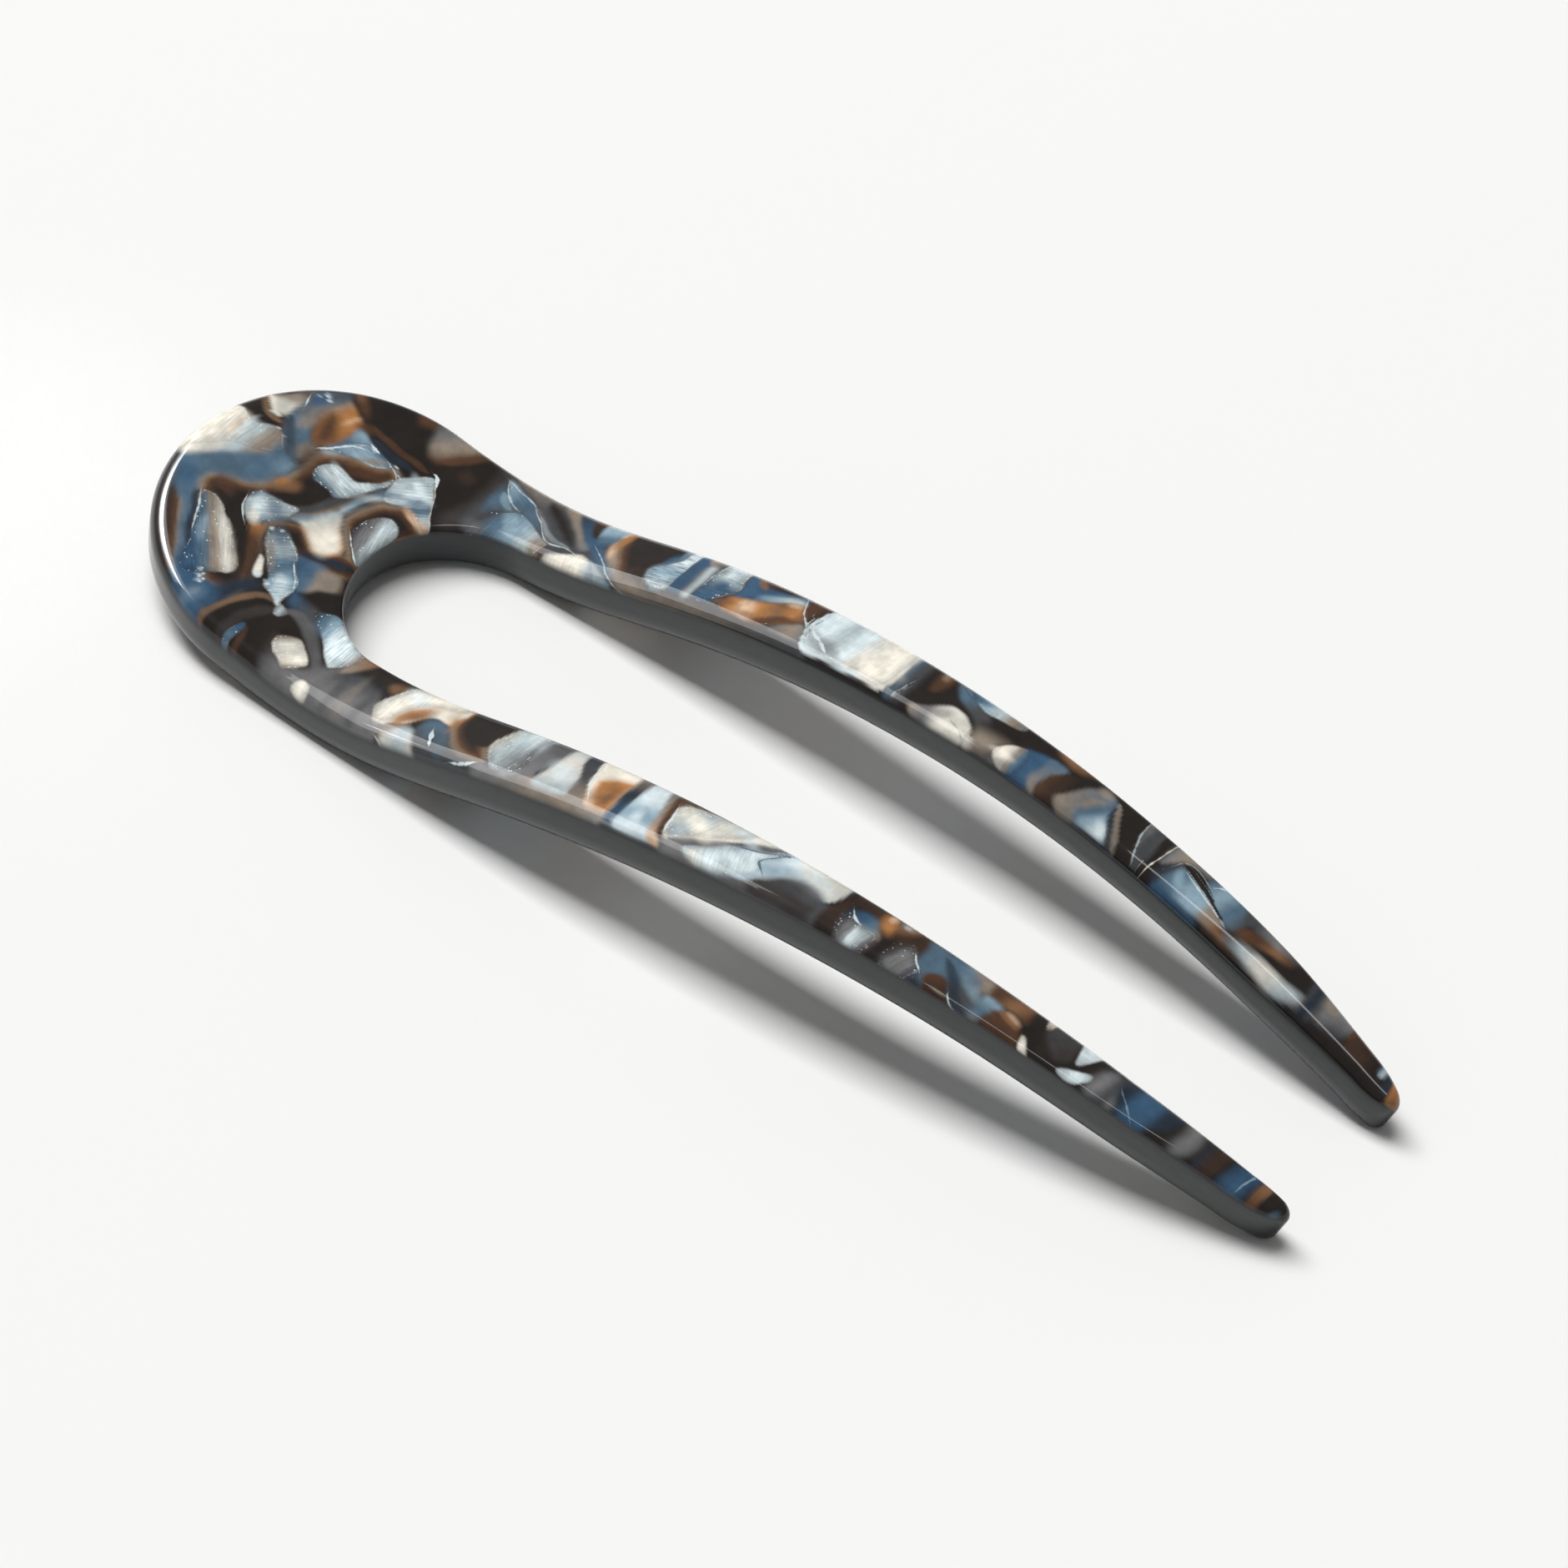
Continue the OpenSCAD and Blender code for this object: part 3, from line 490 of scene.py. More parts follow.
# near prong; its frost and mist lines are painted highlight glints along chip edges and its steel lines dark
# seams
chart += """
wash night .4: 264,-80 196,0 0,-20 -130,0 -20,-8 -20,4 -26,-10
wash slate/smoke/smoke .5 -90: 260,-108 30,6 20,-6 10,-12 18,-16 -4,-34 -74,0
wash caramel/taupe .3 -150: 262,-80 27,0 -10,-16 -9,-10 -8,-4
wash caramel/umber .4: 311,-99 11,7 14,2 -8,-10 -8,-5
dab taupe 3 .6 .4 90: 290,-130
dab slate 2.4 .6 .6 90: 308,-130 276,-126
wash smoke/taupe .4: 332,-130 22,4 12,0 -7,-16 -19,-4 -6,-24 -10,0
wash steel/slate/navy .4 -90: 370,-128 6,12 10,5 10,-2 8,-13 16,-10 26,-4 10,-10 0,-20 -68,0 -6,22
wash pearl/silver/pearl .35: 342,-147 10,9 10,8 8,0 8,-10 10,-20 -32,-4
wash pearl/cream/cream/cream/peach .16 -5: 330,-98 12,14 23,6 37,0 1,-21 -4,-15 -7,1 -12,3 -10,-4 -10,-12
 -12,-4 -10,-7 -8,0 -7,8 -5,7 2,10 4,7
pool taupe/tan/umber/bark/night 1.3: 400,-80 66,0 -10,-10 -7,-10 -5.5,-12 0.5,-12 8,-9 -4,-7 -14,1 -14,5
 -12,7 -9,12 -2,11
wash night .2: 412,-80 50,0 -10,-14 -6,-10 -3,-10 1,-8 -8,-2 -14,4 -9,10 -3,12
wash smoke/taupe/silver .4: 442,-139 28,3 30,6 120,0 0,-40 -172,0
wash pearl/silver/silver/smoke/smoke .12 -8: 459,-78 51,0 -4,-18 -8,-18 -2,-20 -20,-5 -16,0 -7,7 -8,9 -2,10
 6,13 5,10
wash slate/smoke .35 -115: 484,-98 12,20 19,0 -7,-20 -8,-17 -8,-15 -10,4 2,16
wash silver/pearl/silver .25 -80: 510,-78 10,0 1,-18 8,-18 5,-22 -35,-4 1,18 5,18
wash navy/slate/taupe .16 -70: 519,-78 14,0 2,-22 4,-14 7,-12 4,-10 -18,2 -3,18 -7,16
wash cream/cream/peach .14 -80: 532,-78 38,0 1,-22 -1,-36 -20,0 -6,12 -6,10 -3,14
pool peach/amber/caramel/umber 1.5: 543,-109 9,7 12,3 7,3 0,-40 -17,0 -4,12 -3,6
wash taupe/navy/denim .25 -90: 569,-78 14,0 -2,-26 -2,-30 -1,-6 -8,0 -1,30
wash frost/frost/mist/frost .2 -85: 582,-78 18,0 2,-22 6,-20 8,-22 -38,0 2,32
wash smoke/taupe/peach .25 -85: 596,-78 10,0 2,-26 6,-18 9,-20 -11,0 -7,22 -5,20
wash navy .25: 568,-142 56,2 0,-12 -54,-3
wash umber/bark/umber .2: 604,-76 70,0 -14,-13 -26,-3 -16,-3 -6,-5 2,-10 3,-12 6,-12 -7,2 -7,14 -4,18
wash smoke/slate .3: 622,-129 158,23 0,-44 -158,0
wash pearl/pearl/cream/pearl .14 -20: 611,-99 8,6 15,3 26,6 28,6 18,0 -8,-14 -18,-8 -14,-8 -16,-8 -16,-10
 -12,-4 -4,6 -4,14
band smoke .55 .85: 622,-132 14,7 14,8 12,7 8,5
wash slate/smoke .2 20: 662,-109 10,10 12,7 20,8 12,6 -4,-8 -12,-8 -16,-7
wash silver/mist/frost/frost .16 -10: 660,-115 5,6 15,7 15,6 15,12 8,8 44,-2 -3,-18 -4,-12 -15,-2 -20,-6
 -16,-4 -8,-8 -16,-4 -34,-4 -8,6 8,6
wash cream/pearl .3: 718,-76 42,-2 -0.5,-18 -4.5,-10 -15,6 -16,3 -8,3
wash smoke/slate/ash/ash .5 -90: 710,-110 14,8 16,2 16,-6 -4,-14 -2,-12 -50,-4 -2,10
wash night/bark/night .3 -90: 760,-76 12,0 2,-18 -4,-16 6,-24 -18,0 -1,18 4,16
wash bark .3: 766,-74 68,2 0,-32 -10,2 -10,-10 0,-22 -18,0 2,26 -10,14 -18,0
wash night .4: 803,-104 11,4 -2,-14 8,-20 -20,0
wash navy/denim/steel/taupe .3 -20: 769,-106 3,9 12,3 10,-2 7,-8 1,-8 -18,4 -10,-4
wash umber/umber/caramel/bark .4 -60: 790,-74 33,2 -1,-18 -12,-10 -11,-4 -7,11
wash smoke/taupe .3: 802,-73 18,1 -1,-13 -8,-4 -7,4
dab amber 1 .6 .9 -60: 800,-93
dab peach .5 .35 .95 90: 799,-87
dab pearl .4 .25 .8: 812,-85
wash slate/steel/slate/steel .3 -50: 831,-70 37,0 14,-22 12,-14 10,-14 -8,-10 -34,0 -26,0 -2,26
wash mist/taupe/taupe/umber .5: 861,-72 33,0 2,-17 -12,-7 -12,2
band navy .6 .75: 846,-86 12,-10 12,-12 14,-15 16,-6
dab navy .7 .8 .9 20: 842,-123
dab mist 1.6 .6 .6 -35: 876,-96
wash umber/bark/umber .22 -45: 845,-110 7,7 8,0 7,-9 10,-13 2,-7 -25,4 -5,8
dab taupe .7 .15 .7 10: 862,-116
wash umber/umber/caramel/umber .35 -20: 882,-68 40,2 2,-30 -8,3 -12,1 -12,-1
wash taupe/steel/mist .35 90: 888,-92 17,-1 -5,-11 -3,-20 -8,-2 -1,16
wash bark/umber .3 90: 896,-104 27,3 9,-13 4,-14 -40,-2
wash umber/umber/caramel/peach .3 75: 896,-104 5,6 10,4 9,-3 2,-7 -12,-3
wash slate/ash .35 -40: 932,-64 31,0 0,-22 1,-10 -8,-7 -12,-3 -5,12
dab night 1.6 .5 .8 -40: 944,-99
wash ash/smoke/slate/smoke .5 -10: 979,-90 11,14 16,2 4,-24 -4,-10 -22,0
wash slate/navy/denim/denim/navy/navy .4 -5: 998,-64 56,4 -6,-24 -12,-14 -10,-12 -16,4 -6,14
wash ash/smoke/ash .4: 1054,-58 20,1 -2,-33 -12,-10 -10,4
wash navy/bark/bark .3: 1075,-57 18,1 -2,-38 -17,-4
wash navy/denim/navy .3 -8: 1096,-56 25,1 -1,-43 -32,-6 6,16
wash umber/caramel .16 90: 1120,-54 8,0 0,-42 -8,-2
dab steel .6 .3 .8 70: 1141,-77
flakeB pearl/cream/cream/cream/cream .14 .16 .5 .2 -5: 329,-99 11,11 25,6 31,0 2,-14 -12,-3 -14,1 -12,-4
 -10,-7 -6,-9 -2,-11 -6,-7 -6,1 -7,7 -5,7 3,9 3,7
flakeA pearl/silver/silver/smoke .14 .16 .4 .4 -8: 456,-90 10,8 18,-2 -2,-12 -2,-14 3,-16 -3,-10 -18,-2 -8,6
 -8,9 -2,10 5,11
flakeB pearl/silver/pearl/pearl .14 .1 .5 .15 -20: 611,-99.5 8,5.5 15,3 26,5 18,4 -4,-10 -10,-11 -11,-5
 -13,-8 -11,-8 -8,-2 -6,14
flakeA pearl/frost/silver/frost/silver .4 .06 .5 .2 20: 663,-112 10,7 13,5 10,4 8,1 -6,-6 -6.5,-5 6.5,-7
 -6,-10 -14,-11 -26,-4 -9,7
flakeB slate/smoke/silver/smoke .5 .1 .4 .3 -10: 770,-114 3,12 7,-4 5,-1.5 7,-1 9,1.5 -2,-13 -3,-12 -17,-1
 -3,9
flakeA slate/smoke/smoke/slate .5 .1 .4 .3 -20: 812,-116 3,11 6,7 8,-3 6,-6 7,-6 -5,-7 -5,-12 -11,1 -7,6
dab frost 1.2 .28 .9 -85: 785,-120
flakeB cream/taupe .1 .06 .3 0 -80: 932,-70 8,1 -1,-12 -3,-5 -2.5,5
flakeA pearl/cream/pearl .16 .05 .2 0 -50: 926,-102 4,-1 6,-6 6,-10 -4,-1 -7,6 -3,5
flakeB frost/frost/silver 0 .04 .3 .15 -80: 962,-66 19,1 -5,-16 -6,-12 -3,0 -2,9
flakeA silver/frost/silver 0 .04 .3 .15 30: 960,-108 6,7 7,5 11,5 1,-7 -5,-7 -8,-4.5
dab frost 1.6 .9 .6 -20: 346,-99 469,-96 514,-116
dab cream 2 .8 .8 -30: 634,-106 368,-92
dab smoke 1.5 .9 .6 80: 479,-120 469,-126
dab amber 1.9 .85 .95 40: 361,-114
dab amber 1.2 .7 .8 70: 352,-122 555,-116
dab amber 1.8 .3 .8 80: 401,-103
dab caramel 1.1 .45 .7 30: 363,-117 559,-122
dab steel 1.5 .7 .5 -60: 380,-120 406,-138
dab cream .9 .4 .9 80: 399,-97
dab frost 1.2 .5 .7 -80: 589,-98 592,-128
dab frost 1.3 .6 .7 -30: 680,-120 716,-90
dab mist 1.5 .6 .8 30: 709,-105
dab frost 1.8 .6 .7 -20: 736,-92 668,-93
dab steel 1 .7 .7: 841,-86 873,-90
line frost .24 .85: 385,-121 5,-8 8,-10
line frost .14 .85: 422,-146 13,2 12,5.5
line frost .14 .8: 339,-147 7,-5 8,-6
line frost .14 .9: 533,-86 2,-14 4,-14 7,-9 4,-8
line frost .12 .9: 610.5,-98 2.5,-10 3,-10 4,-10
line steel .1 .9: 664,-109 16,7 14,6 9,4 9,8
line steel .13 .95: 712,-86 -12,-11 -8,-9 5,-5 7,-6
line frost .12 .9: 773,-99 5,-5 7,-3.5
line frost .12 .9: 829,-101 6,-6 7,-6
line frost .13 .9: 868,-112 6,-7 6,-5
line mist .12 .6: 1004,-84 11,-9 10,-9
line mist .14 .7: 1113,-60 -1,-12 -2,-14
"""

# how the chart is laid: lengths in millimetres of the flat sheet, and shares
brush = {
    "cuts": (0.35, 0.14), "cutShare": 0.22,  # corners are cut by these lengths, or this share of a side
    "drift": ((0.06, 3.7, 0.4), (0.03, 1.9, 1.7)), "driftMix": (0.7, 1.3, 0.6),  # size, wavelength and turn
    "far": 3.0, "margin": 2.0,  # distance where nothing is near, and how far to look round an outline
    "chipSoft": 0.16, "poolEdge": 0.8, "poolShift": 0.6,
    "dabReach": 1.4, "dabFull": 1.25, "dabFall": 0.9,
    "bandReach": 0.7, "bandFall": 1.4, "bandThinning": 4,
}


def linearColour(name):
    # the screen's colour value as linear light
    rgb = np.array([int(palette[name][i:i + 2], 16) for i in (0, 2, 4)]) / 255
    return np.where(rgb <= 0.04045, rgb / 12.92, ((rgb + 0.055) / 1.055) ** 2.4)


def rampColour(names, t):
    stops = np.array([linearColour(n) for n in names])
    if len(stops) == 1:
        return np.repeat(stops, len(t), 0)
    x = np.clip(t, 0, 1) * (len(stops) - 1)
    i = np.minimum(x.astype(int), len(stops) - 2)
    f = easeStep(x - i)[:, None]
    return stops[i] * (1 - f) + stops[i + 1] * f


def readChart():
    for row in chart.replace("\n ", " ").split("\n"):
        if not row:
            continue
        head, places = row.split(":")
        kind, colours, *numbers = head.split()
        numbers = [float(v) for v in numbers] + [0.0]  # stands for an axis left out
        placed = np.array([p.split(",") for p in places.split()], float)
        yield kind, colours.split("/"), numbers, (placed if kind == "dab" else placed.cumsum(0)) / 10


def axisOf(degrees):
    return np.array([math.cos(math.radians(degrees)), math.sin(math.radians(degrees))])


def outlinePoints(placed, closed=True):
    # corner cutting turns the listed points into a soft outline, or an open path with its ends kept
    for most in brush["cuts"]:
        after = np.roll(placed, -1, 0)
        sides = np.linalg.norm(after - placed, axis=1)
        share = np.minimum(brush["cutShare"], most / np.maximum(sides, tiny))[:, None]
        inward = (after - placed) * share
        cut = np.stack([placed + inward, after - inward], 1).reshape(-1, 2)
        placed = cut if closed else np.vstack([placed[:1], cut[:-2], placed[-1:]])
    return placed


def edgeDistances(points, start, edge):
    # from every point to every edge: the way from its start, the share of it passed, and the distance
    rel = points[:, None] - start
    t = np.clip((rel * edge).sum(-1) / np.maximum((edge**2).sum(-1), tiny), 0, 1)
    return rel, t, np.linalg.norm(rel - t[..., None] * edge, axis=-1)


def signedDistance(points, outline):
    # distance to a closed outline, plus inside it and minus outside
    a, b = outline, np.roll(outline, -1, 0)
    edge = b - a
    near = edgeDistances(points, a, edge)[2].min(1)
    crosses = (a[:, 1] > points[:, None, 1]) != (b[:, 1] > points[:, None, 1])
    dy = np.where(edge[:, 1] == 0, tiny, edge[:, 1])
    xAt = a[:, 0] + (points[:, None, 1] - a[:, 1]) * edge[:, 0] / dy
    inside = (crosses & (points[:, None, 0] < xAt)).sum(1) % 2 == 1
    return np.where(inside, near, -near)


def pathDistance(points, path):
    # signed distance to an open path, one side plus and the other minus, and the share of its length passed
    edge = np.diff(path, axis=0)
    size = np.linalg.norm(edge, axis=1)
    passed = np.cumsum(size) - size
    rel, t, away = edgeDistances(points, path[:-1], edge)
    best = away.argmin(1)
    row = np.arange(len(points))
    side = np.sign(edge[best, 0] * rel[row, best, 1] - edge[best, 1] * rel[row, best, 0])
    return side * away[row, best], (passed[best] + t[row, best] * size[best]) / size.sum()


def driftPoints(points):
    # uneven drift that keeps the outlines from looking drawn
    drift = np.zeros_like(points)
    first, second, third = brush["driftMix"]
    for size, wave, turn in brush["drift"]:
        phase = points @ np.array([[math.cos(turn), -math.sin(turn)], [math.sin(turn), math.cos(turn)]])
        phase = phase * math.tau / wave
        drift += size * np.stack([np.sin(phase[:, 1] + np.sin(phase[:, 0] * first)),
                                  np.sin(phase[:, 0] + second * np.sin(phase[:, 1] * third))], 1)
    return points + drift


def paintChart(points):
    # what each point of the sheet gets: ground colour; for two layers of chips their colour, distance
    # inside, (fray, glint, streak) and axis with the edge's softness; thin lines, painted highlight glints
    # where pale and dark seams where dark, as (signed distance, half width, strength) and their colour
    far, count = brush["far"], len(points)
    ground = np.repeat(linearColour("night")[None], count, 0)
    crease = np.tile([far, -1.0, 0.0], (count, 1))
    creaseTone = ground.copy()
    layers = {key: [ground.copy(), np.full(count, -far), np.zeros((count, 3)), np.zeros((count, 3))]
              for key in ("flakeA", "flakeB")}

    def within(low, high):
        return np.flatnonzero(((points > low) & (points < high)).all(1))

    def blend(shown, pick, colour, mix):
        shown[pick] = shown[pick] * (1 - mix[:, None]) + colour * mix[:, None]

    def paintOver(pick, colour, mix):
        for shown in (ground, layers["flakeA"][0], layers["flakeB"][0]):
            blend(shown, pick, colour, mix)

    for kind, colours, numbers, placed in readChart():
        first = linearColour(colours[0])
        if kind == "dab":
            length, width, strength, axis = numbers[:4]
            turn = axisOf(axis)
            around = brush["dabReach"] * max(length, width)
            for centre in placed:
                pick = within(centre - around, centre + around)
                rel = points[pick] - centre
                reach = np.hypot(rel @ turn / length, (rel[:, 0] * turn[1] - rel[:, 1] * turn[0]) / width)
                paintOver(pick, first, strength * easeStep(brush["dabFull"] - brush["dabFall"] * reach))
            continue
        if kind in ("band", "line"):
            # both thin out at the ends. A band is painted, a line stays a signed distance to keep it whole
            half, strength = numbers[:2]
            path = outlinePoints(placed, False)
            reach = max(half, brush["bandReach"])
            pick = within(path.min(0) - reach, path.max(0) + reach)
            away, along = pathDistance(points[pick], path)
            width = half * (1 - np.abs(2 * along - 1) ** brush["bandThinning"])
            if kind == "band":
                share = brush["bandFall"] * np.abs(away) / np.maximum(width, tiny)
                paintOver(pick, first, strength * easeStep(brush["bandFall"] - share))
                continue
            nearer = np.abs(away) < np.minimum(np.abs(crease[pick, 0]), reach)
            crease[pick[nearer]] = np.stack([away, width, strength + 0 * away], 1)[nearer]
            creaseTone[pick[nearer]] = first
            continue
        outline = outlinePoints(placed)
        pick = within(outline.min(0) - brush["margin"], outline.max(0) + brush["margin"])
        here = points[pick]
        inside = signedDistance(here, outline)
        if kind == "pool":
            colour = rampColour(colours, np.maximum(inside, 0) / numbers[0])
            blend(ground, pick, colour, easeStep(inside / brush["poolEdge"] + brush["poolShift"]))
            continue
        feather = numbers[0]
        if kind == "veil":
            paintOver(pick, first, numbers[1] * easeStep(inside / (2 * feather) + 0.5))
            continue
        along = axisOf(numbers[1 if kind == "wash" else 4])  # a chip's axis is its fifth number
        ends = outline @ along
        colour = rampColour(colours, (here @ along - ends.min()) / (ends.max() - ends.min()))
        if kind == "wash":
            blend(ground, pick, colour, easeStep(inside / (2 * feather) + 0.5))
            continue
        tone, best, style, edge = layers[kind]
        wins = inside > best[pick]
        chosen = pick[wins]
        tone[chosen], best[chosen] = colour[wins], inside[wins]
        style[chosen] = numbers[1:4]
        edge[chosen] = (*along, max(feather, brush["chipSoft"]))
    return ground, layers, crease, creaseTone


# the underside shows the same sheet from below, mirrored
sheetPoints = unrolled.reshape(-1, 2).copy()
under = rim.ravel() >= 2
sheetPoints[under] = flat.reshape(-1, 2)[under] * np.array([1, -1])
ground, layers, crease, creaseTone = paintChart(driftPoints(sheetPoints))
print("marbling charted on", len(sheetPoints), "points")

# flat blank as a closed mesh: x along the sheet, y across, z height in the sheet
blankPoints = np.concatenate([flat, height[..., None]], -1).reshape(-1, 3) * mm
i, j = np.meshgrid(np.arange(nStations - 1), np.arange(nRing), indexing="ij")
k = (j + 1) % nRing
quads = np.stack([i * nRing + j, i * nRing + k, (i + 1) * nRing + k, (i + 1) * nRing + j], -1)
faces = [tuple(q) for q in quads.reshape(-1, 4).tolist()]
faces.append(tuple(range(nRing - 1, -1, -1)))
faces.append(tuple((nStations - 1) * nRing + v for v in range(nRing)))
blankMesh = bpy.data.meshes.new("blank")
blankMesh.from_pydata(blankPoints.tolist(), [], faces)
painted = {
    "sheet": np.column_stack([sheetPoints, height.ravel()]), "rim": rim.ravel(),
    "ground": ground, "crease": crease, "creaseTone": creaseTone,
}
for key, channels in layers.items():
    painted.update(zip((key, key + "Inside", key + "Style", key + "Axis"), channels))
for name, values in painted.items():
    kind, field = ("FLOAT", "value") if values.ndim == 1 else ("FLOAT_VECTOR", "vector")
    store = blankMesh.attributes.new(name, kind, "POINT")
    store.data.foreach_set(field, np.ascontiguousarray(values, np.float32).ravel())


def addObject(name, data):
    made = bpy.data.objects.new(name, data)
    bpy.context.collection.objects.link(made)
    return made


blank = addObject("blank", blankMesh)
print("flat blank made:", len(blankMesh.vertices), "points")

# side profile of the bow as a curve, one point each bowStep, its length equal to u
bowAt = np.arange(0, pin["length"] + pin["bowStep"], pin["bowStep"])
bowMid = bowAngle(bowAt[:-1] + pin["bowStep"] / 2)
bowX = np.concatenate([[0], np.cumsum(pin["bowStep"] * np.cos(bowMid))])
bowZ = np.concatenate([[0], np.cumsum(pin["bowStep"] * np.sin(bowMid))])


def bend(u, h):
    a = bowAngle(u)
    return np.interp(u, bowAt, bowX) - h * np.sin(a), np.interp(u, bowAt, bowZ) + h * np.cos(a)


# the pin is laid level on its heel and tips, then moved to the solid's place
tipX, tipZ = bend(pin["length"] - pin["underRadius"], pin["underRadius"])
heel = bowAt < pin["length"] / 2
tilt = np.max(np.arctan2(tipZ - pin["underRadius"] - bowZ[heel], tipX - bowX[heel]))
cosTilt, sinTilt = math.cos(tilt), math.sin(tilt)


def level(x, z):
    return x * cosTilt + z * sinTilt, z * cosTilt - x * sinTilt


levelX, levelZ = level(*bend(flat[..., 0], height))
low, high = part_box("pin")
shiftX = (low[0] + high[0]) / 2 - (levelX.min() + levelX.max()) / 2 * mm
shiftZ = low[2] - levelZ.min() * mm
profile = bpy.data.curves.new("bowProfile", "CURVE")
profile.dimensions = "3D"
spline = profile.splines.new("POLY")
spline.points.add(len(bowAt) - 1)
for point, x, z in zip(spline.points, *level(bowX, bowZ)):
    point.co = (x * mm + shiftX, 0, z * mm + shiftZ, 1)
profileObject = addObject("bowProfile", profile)
print("bow profile laid, tilt", round(math.degrees(tilt), 3))


def feed(node, inputs):
    # inputs: a socket's name or number, with its value or the socket that feeds it
    for name, value in inputs.items():
        if isinstance(value, bpy.types.NodeSocket):
            node.id_data.links.new(value, node.inputs[name])
        else:
            node.inputs[name].default_value = value


def addNode(tree, kind, inputs, **settings):
    node = tree.nodes.new(kind)
    for name, value in settings.items():
        setattr(node, name, value)
    feed(node, inputs)
    return node.outputs


def bendTree():
    # bends a flat blank along a profile curve that lies in the XZ plane; Rise stretches its thickness
    tree = bpy.data.node_groups.new("bendAlongProfile", "GeometryNodeTree")
    needs = {"Blank": "Geometry", "Profile": "Object", "Rise": "Float", "Material": "Material"}
    for name, kind in needs.items():
        tree.interface.new_socket(name=name, in_out="INPUT", socket_type="NodeSocket" + kind)
    tree.interface.items_tree["Rise"].default_value = 1
    tree.interface.new_socket(name="Pin", in_out="OUTPUT", socket_type="NodeSocketGeometry")

    def add(kind, inputs, **settings):
        return addNode(tree, kind, inputs, **settings)

    given = add("NodeGroupInput", {})
    laid = add("GeometryNodeObjectInfo", {"Object": given["Profile"]}, transform_space="ORIGINAL")
    place = add("ShaderNodeSeparateXYZ", {0: add("GeometryNodeInputPosition", {})[0]})
    alongBow = {"Curves": laid["Geometry"], "Length": place["X"]}
    sample = add("GeometryNodeSampleCurve", alongBow, mode="LENGTH")
    up = add("ShaderNodeVectorMath", {0: sample["Tangent"], 1: (0, 1, 0)}, operation="CROSS_PRODUCT")[0]
    lift = add("ShaderNodeMath", {0: place["Z"], 1: given["Rise"]}, operation="MULTIPLY")[0]
    raised = add("ShaderNodeVectorMath", {0: up, "Scale": lift}, operation="SCALE")[0]
    onBow = add("ShaderNodeVectorMath", {0: sample["Position"], 1: raised}, operation="ADD")[0]
    side = add("ShaderNodeCombineXYZ", {"Y": place["Y"]})[0]
    total = add("ShaderNodeVectorMath", {0: onBow, 1: side}, operation="ADD")[0]
    bent = add("GeometryNodeSetPosition", {"Geometry": given["Blank"], "Position": total})[0]
    smooth = add("GeometryNodeSetShadeSmooth", {"Geometry": bent})[0]
    real = add("GeometryNodeRealizeInstances", {0: smooth})[0]
    dressed = add("GeometryNodeSetMaterial", {"Geometry": real, "Material": given["Material"]})[0]
    add("NodeGroupOutput", {"Pin": dressed})
    return tree


def addMaterial(name):
    made = bpy.data.materials.new(name)
    made.use_nodes = True
    return made, made.node_tree.nodes["Principled BSDF"]


# polished marbled acetate: lengths in millimetres of the flat sheet
acetateLook = {
    "roughness": (-0.2, 0.2, 0.29, 0.39), "specular": 0.06,
    "coat": 0.85, "coatRoughness": 0.012, "coatBend": 1.42,
    # noises: scale, detail, roughness
    "vein": (0.55, 4.0, 0.6), "fine": (7.0, 2.0, 0.5), "drift": (1.9, 3.0, 0.6), "fold": (0.8, 3.0, 0.55),
    "brush": (1.0, 3.0, 0.6), "glintAndSeamGaps": (1.6, 2.0, 0.5),
    # ranges: where each begins and ends, and what it gives there
    "veinShade": (0.3, 0.7, 0.84, 1.14), "foldShade": (0.3, 0.7, 0.86, 1.14),
    "wallShade": (0.3, 0.7, 0.8, 1.25), "wallFrom": (0.55, 1.0), "wallTo": (2.5, 2.95),
    "glintAndSeamFade": (0.3, 0.7, 0.35, 1.15), "glintAndSeamEdge": (-0.05, 0.09),
    "halo": (-0.3, 0.0, 0.0, 0.2), "glintStart": (0.0, 0.04), "glintStop": (0.06, 0.16, 1.0, 0.0),
    "glintGaps": (0.5, 0.62, 0.0, 0.8), "sparkShare": (0.6, 0.0, 0.03, 0.3), "sparkFray": (0.02, 0.12),
    # chips: how far the edge frays and steps, darkening inside a frayed edge, brushed lines
    "frayReach": 1.4, "fineDepth": 0.1, "shadeDepth": 0.8, "shadeFray": -2.0, "shadeLight": 1.04,
    "streakAcross": 5.5, "streakAlong": 0.55, "streakMore": 2.2, "streakLeast": 0.25,
    "sparkScale": 5.0, "sparkSize": 0.38, "sparkStrength": 0.6,
    "wallTone": (0.0085, 0.0112, 0.0135), "haloTone": (0.055, 0.022, 0.009, 1),
    "glintTone": (0.85, 0.9, 0.92, 1), "sparkTone": (0.8, 0.86, 0.9, 1),
}
look = acetateLook
acetate, acetateShader = addMaterial("acetate")


def acetateNode(kind, inputs, **settings):
    return addNode(acetate.node_tree, kind, inputs, **settings)


def attribute(name, output="Vector"):
    return acetateNode("ShaderNodeAttribute", {}, attribute_name=name)[output]


def calc(operation, *values):
    return acetateNode("ShaderNodeMath", dict(enumerate(values)), operation=operation)[0]


def times(a, b):
    return calc("MULTIPLY", a, b)


def vectorCalc(operation, *values):
    made = acetateNode("ShaderNodeVectorMath", dict(enumerate(values)), operation=operation)
    return made["Value" if operation == "DOT_PRODUCT" else "Vector"]


def scaled(vector, factor):
    return acetateNode("ShaderNodeVectorMath", {0: vector, "Scale": factor}, operation="SCALE")[0]


def parts(vector):
    return acetateNode("ShaderNodeSeparateXYZ", {0: vector})


